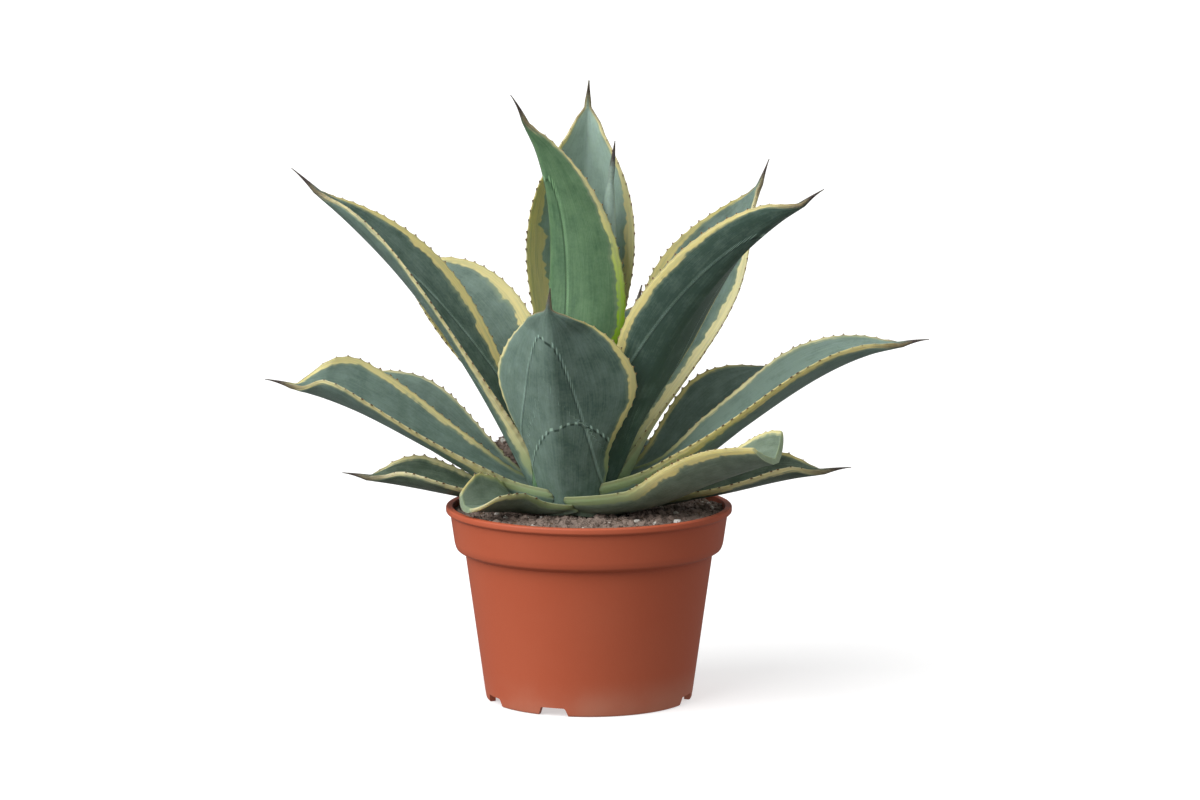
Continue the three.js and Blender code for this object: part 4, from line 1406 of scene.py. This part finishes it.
# Each leaf's light pair paints light and shade on its two halves as more or less pale bloom; a band's
# backlight share paints yellow-green light shining through the margin.
LEAVES = (
    Leaf("leaf_front_broad", 250, (30, 157), 167, (66, 67, 87), 60, lean=3, shift=(-5.5, 2),
         belly=0.5, taper=0.8, full=1.8, neck=0.56, foot=(0.46, 0.46), fold=(8, 22, 42),
         cup=(22, 10), spine=13, light=(0.12, 0.55),
         bands=(Band(3.0, 6.0, 0.3), Band(3.0, 3.6, 0.4, cream=0.6)),
         imprints=(Imprint(62, 10, 29), Imprint(130, -6, 8))),
    Leaf("leaf_centre_left", 204.8, (21, 163), 290, (84, 94, 50), 55, lean=-1.7, shift=(-12, 2),
         belly=0.42, taper=1.25, fold=(25, 28, 45), cup=(58, 100), spine=22, tone=Tone.FRESH,
         light=(0.38, 0.5),
         bands=(Band(8.0, 6.0, 0.4, cream=0.5, painted_backlight=1.0), Band(3.0, 2.0, 0.3, cream=0.8)),
         imprints=(Imprint(222, 1, 1.6),)),
    Leaf("leaf_back_tall", 92, (14, 166), 288, (76, 84, 94), 48, lean=-2.3, roll=(0, -3, 0),
         shift=(-10, 2), belly=0.6, taper=1.25, full=2.45, fold=(12, 12, 35), cup=(36, 44),
         spine=16, tone=Tone.YOUNG_AND_PAINTED_LIGHT, light=(0.75, 0.75),
         bands=(Band(16.0, 17.0, 1.0, cream=0.6), Band(12.0, 12.0, 1.2, cream=0.7))),
    Leaf("leaf_left_upper", 172, (27, 153), 305, (62, 52, 36), 36, roll=(0, -10, -5), belly=0.52,
         neck=0.55, full=2.1, fold=(14, 14, 45), cup=(20, 25), spine=24, light=(0.35, 0.0),
         bands=(Band(5.0, 1.8, 0.4, cream=0.8), Band(6.0, 6.5, 0.3)),
         imprints=(Imprint(205, 2, 3),)),
    Leaf("leaf_right_upper", 330, (14, 162), 301, (65, 52, 26), 34.5, lean=-4.5,
         roll=(-25, -30, 0), belly=0.44, neck=0.5, taper=0.7, foot=(0.7, 0.7), cup=(12, 18),
         heel=14, bands=(Band(5.0, 5.0, 0.4), Band(7.0, 4.5, 0.2)), light=(-0.2, -0.2),
         imprints=(Imprint(240, 2, 2.5),)),
    Leaf("leaf_left_upper_rear", 139, (26, 156), 238, (62, 44, 12), 42, roll=(0, -10, -15),
         full=2.2, taper=0.9, fold=(6, 6, 35), cup=(12, 35), spine=18,
         bands=(Band(5.0, 6.0, 0.5), Band(8.0, 9.5, 1.5, cream=0.5))),
    Leaf("leaf_right_upper_rear", 40, (19, 158), 278, (58, 54, 60), 46, lean=-1.3,
         fold=(5, 3, 30), cup=(35, 10),
         bands=(Band(6.0, 7.0, 0.6), Band(12.0, 12.0, 1.0, cream=0.8))),
    Leaf("leaf_back_right", 72.5, (26, 150), 182, (55, 51, 41), 35, spine=18, light=(0.3, 0.3)),
    Leaf("leaf_right_long", 345.8, (31, 156), 256, (20, 36, 2), 32, roll=(0, 16, 10), belly=0.55,
         neck=0.85, foot=(1.3, 1.4), fold=(30, 20, 48), cup=(22, 13), thick=9, heel=10,
         light=(0.85, 0.85), bands=(Band(3.0, 2.2, 0.3, cream=0.8), Band(6.0, 4.0, 0.3, cream=0.4))),
    Leaf("leaf_left_long", 177, (33, 151), 220, (17, 28, 5), 34, roll=(0, -15, -14), belly=0.72,
         foot=(1.5, 0.7), neck=0.62, full=2.2, fold=(18, 19, 50), cup=(20, 25), thick=9, heel=10,
         bands=(Band(5.0, 2.2, 1.6, cream=0.7), Band(2.5, 4.0, 4.5, cream=0.5))),
    Leaf("leaf_right_rear", 30, (29, 150), 180, (28, 35, 16), 27, lean=5, roll=(5, 28, 22),
         fold=(10, 10, 35), cup=(15, 10), light=(0.4, 0.4),
         bands=(Band(3.0, 2.5, 0.4), Band(3.0, 2.5, 0.4))),
    Leaf("leaf_back_left", 112, (30, 151), 146, (42, 40, 18), 33),
    Leaf("leaf_front_right_cut", 318, (38, 149), 222, (11, 20, -5), 32, roll=(2, 3, 50),
         belly=0.48, neck=0.75, foot=(0.8, 1.6), cut=0.68, thick=8.5, heel=12, tone=Tone.LOW,
         bands=(Band(3.0, 3.0, 1.0, cream=0.6), Band(6.0, 5.0, 2.0))),
    Leaf("leaf_back_low", 84, (34, 149), 114, (27, 29, 12), 27, spine=18, thick=9, heel=9),
    Leaf("leaf_left_rear", 155, (38, 149), 198, (23, 30, 7), 27, roll=(0, -3, 0), thick=9, heel=9,
         light=(0.7, 0.7), bands=(Band(2.0, 0.9, 0.4, cream=0.9), Band(2.0, 1.2, 0.5, cream=0.9))),
    Leaf("leaf_right_low", 357, (37.5, 147.3), 160, (1, 13, 1), 22, roll=(0, 22, 0), thick=6.7, heel=9,
         tone=Tone.LOW, light=(-0.1, -0.1), bands=(Band(3.0, 3.0, 0.5), Band(4.0, 3.0, 0.6, cream=0.7))),
    Leaf("leaf_left_low", 187, (38, 148), 142, (2, 12, 4), 22, roll=(0, -18, 0), spine=18,
         thick=8, heel=9, tone=Tone.LOW, light=(-0.1, -0.1),
         bands=(Band(3.0, 1.4, 0.5, cream=1.0), Band(3.0, 3.0, 0.5, cream=0.7))),
    Leaf("leaf_back_right_low", 60, (38, 148), 105, (14, 18, 6), 22, spine=16, thick=8, heel=9),
    Leaf("leaf_front_left_cut", 215, (39, 146), 92, (2, 7, 4), 25, roll=(-8, -20, -70),
         shift=(-7, 2), belly=0.45, neck=0.95, foot=(1.4, 0.8), fold=(20, 32, 40), cut=0.68,
         thick=6, heel=8, tone=Tone.LOW, bands=(Band(3.0, 2.0, 2.0, cream=0.9), Band(3.0, 2.0, 1.5))),
)


@dataclass(frozen=True)
class Bud:
    """The closed bud: rolled young leaves, one margin lapping round it, ending in a spine."""

    foot: float = 181.0
    radius: float = 15.0
    lap: float = 1.6
    spine: float = 20.0
    foot_at: Pair = (-3, 8)
    tip: Three = (19, 9, 410)
    band: float = 4.0
    cream: float = 0.5
    # Painted light: a raised share of pale bloom over the whole bud.
    light: float = 0.7
    horn: float = 0.3
    around: int = 72
    pitch: float = 1.6
    crease: float = 50.0

    def mesh(self, name: str, swell: float = 0.0) -> Object:
        """The bud as a closed mesh with a leaf's attributes.

        Args:
            name: name of the object.
            swell: growth all round, for a cutter.

        Returns:
            The object.
        """
        length = self.tip[2] - self.foot
        t, turn = np.meshgrid(np.linspace(0, 1, int(length / self.pitch)),
                              np.linspace(0, 1, self.around, endpoint=False), indexing="ij")
        start = 1 - self.spine / length
        point = np.clip((t - start) / (1 - start), 0, 1)
        crown = (1 - np.clip(t / start, 0, 1) ** 2.2) ** 0.85
        lapped = (turn + 0.75 - 0.25 * t) % 1
        smooth = lapped - ease((lapped - 0.93) / 0.07)
        spindle = self.radius * (0.55 + 0.45 * ease(t / 0.3)) * crown + self.lap * smooth * crown
        radius = np.where(t > start, mix(SPINE_RADIUS, SPINE_POINT, point),
                          np.maximum(spindle, SPINE_RADIUS)) + swell
        angle = 2 * math.pi * turn
        x = mix(self.foot_at[0], self.tip[0], t ** 1.1) + radius * np.cos(angle)
        y = mix(self.foot_at[1], self.tip[1], t) + radius * np.sin(angle)
        z = mix(self.foot, self.tip[2], t)
        zero, tip = np.zeros_like(t), (start - t) * length
        width = self.band * (0.2 + 0.8 * ease((start - t) / 0.6))
        edge = (1 - lapped) * 2 * math.pi * radius
        fields = blade_fields(
            zero, blade=(2 * turn - 1, t * length, zero), detail=(zero + FAR, zero, zero),
            margin=(edge, width, np.where(tip > 0, self.horn * tip, tip)),
            tint=(zero + self.cream, zero, zero + self.light))
        return capped(name, np.stack([x, y, z], axis=-1), fields)

    def build(self, material: Material, cutters: Collection) -> Object:
        """Builds and dresses the bud, and adds its cutter."""
        piece = cut_by(self.mesh("central_bud_leaves"), cutters, self.crease)
        set_aside(self.mesh("central_bud_cutter", CUTTER_SWELL), cutters)
        return dressed(piece, material, "leaf_blade", "central_bud")


WELD = 0.01 * MM


@dataclass(frozen=True)
class Plant:
    """The stem, the bud and the leaves."""

    frame: dict[str, Any]
    groups: ShaderGroups
    repeats: Repeats

    def build(self) -> None:
        """Builds every piece; where two press together, the later one gives way."""
        cutters = bpy.data.collections.new("plant cutters")
        cutters.objects.link(self._stem())
        Bud().build(Tone.YOUNG_AND_PAINTED_LIGHT.value.material(self.groups), cutters)
        for leaf in LEAVES:
            leaf.build(self.repeats, leaf.tone.value.material(self.groups), cutters)
        remove_all(cutters)

    def _stem(self) -> Object:
        """Dresses the stem's own solid and returns a merged copy of it as a cutter."""
        stem = self.frame["nodes"]["stem"]
        stem.data.materials.clear()
        stem.data.materials.append(StemFinish().material(self.groups))
        shape = bmesh_of(stem.data)
        bmesh.ops.remove_doubles(shape, verts=shape.verts, dist=WELD)
        mesh = bpy.data.meshes.new("stem_cutter")
        shape.to_mesh(mesh)
        shape.free()
        return bpy.data.objects.new("stem_cutter", mesh)


# ---- studio -------------------------------------------------------------------------------
@dataclass(frozen=True)
class Sun:
    """Soft directional light.

    heading: degrees to the right of the front from which it shines.  height: degrees above the
    floor.  angle: degrees that it spans, which softens its shadows.  away: metres to its holder.
    """

    name: str
    heading: float
    height: float
    angle: float
    strength: float
    away: float = 3.0

    def build(self) -> None:
        """Adds the light to the scene."""
        lamp = bpy.data.lights.new(self.name, "SUN")
        lamp.angle, lamp.energy = math.radians(self.angle), self.strength
        turn, rise = math.radians(self.heading), math.radians(self.height)
        towards = Vector((math.sin(turn) * math.cos(rise), -math.cos(turn) * math.cos(rise),
                          math.sin(rise)))
        holder = link(bpy.data.objects.new(self.name, lamp))
        holder.location = towards * self.away
        holder.rotation_euler = (-towards).to_track_quat("-Z", "Y").to_euler()


@dataclass(frozen=True)
class Studio:
    """Plain pale floor, a key light from the upper left, a weak fill, an even sky and the camera."""

    camera_at: Three = (0.00808, -3.25436, 0.69530)
    camera_tilt: float = 81.7
    lens: float = 134.83
    sensor: float = 36.0
    camera_reach: float = 100.0
    floor_size: float = 60.0
    floor_level: float = -0.2
    floor_colour: Three = (0.60, 0.60, 0.60)
    floor_glow: float = 0.55
    floor_roughness: float = 0.9
    sky: float = 0.27
    suns: tuple[Sun, ...] = (Sun("key", -55.0, 38.0, 60.0, 3.4), Sun("fill", 62.0, 55.0, 80.0, 0.9))

    def build(self) -> None:
        """Builds the floor, the world, the lights and the camera."""
        scene = bpy.context.scene
        self._floor()
        scene.world = bpy.data.worlds.new("studio")
        scene.world.use_nodes = True
        tree = scene.world.node_tree
        Graph(tree).fill(tree.nodes["Background"], {"Color": WHITE, "Strength": self.sky})
        for sun in self.suns:
            sun.build()
        camera = bpy.data.cameras.new("camera")
        camera.lens, camera.sensor_width, camera.clip_end = self.lens, self.sensor, self.camera_reach
        scene.camera = link(bpy.data.objects.new("camera", camera))
        scene.camera.location = self.camera_at
        scene.camera.rotation_euler = (math.radians(self.camera_tilt), 0.0, 0.0)
        scene.view_settings.view_transform = "Standard"

    def _floor(self) -> None:
        """Large plain floor just under the pot, faintly glowing so that it stays pale."""
        half = self.floor_size / 2 / MM
        corners = [(x * half, y * half, self.floor_level)
                   for x, y in ((-1, -1), (1, -1), (1, 1), (-1, 1))]
        floor = new_object("floor", np.array(corners), [(0, 1, 2, 3)])
        material, graph, shader = new_material("floor")
        graph.fill(shader, {"Base Color": self.floor_colour, "Roughness": self.floor_roughness,
                            "Emission Color": WHITE, "Emission Strength": self.floor_glow})
        floor.data.materials.append(material)
        floor.visible_diffuse = False
        floor.visible_glossy = False


def main() -> None:
    """Builds the model round the frame."""
    logging.basicConfig(level=logging.INFO, format="%(name)s: %(message)s")
    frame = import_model()
    groups = ShaderGroups()
    repeats = Repeats()
    Studio().build()
    pot = Pot()
    dressed(pot.build(), PotFinish().material(groups), "pot_plastic", "pot")
    Soil(pot).build(repeats, groups)
    Plant(frame, groups, repeats).build()


if __name__ == "__main__":
    main()
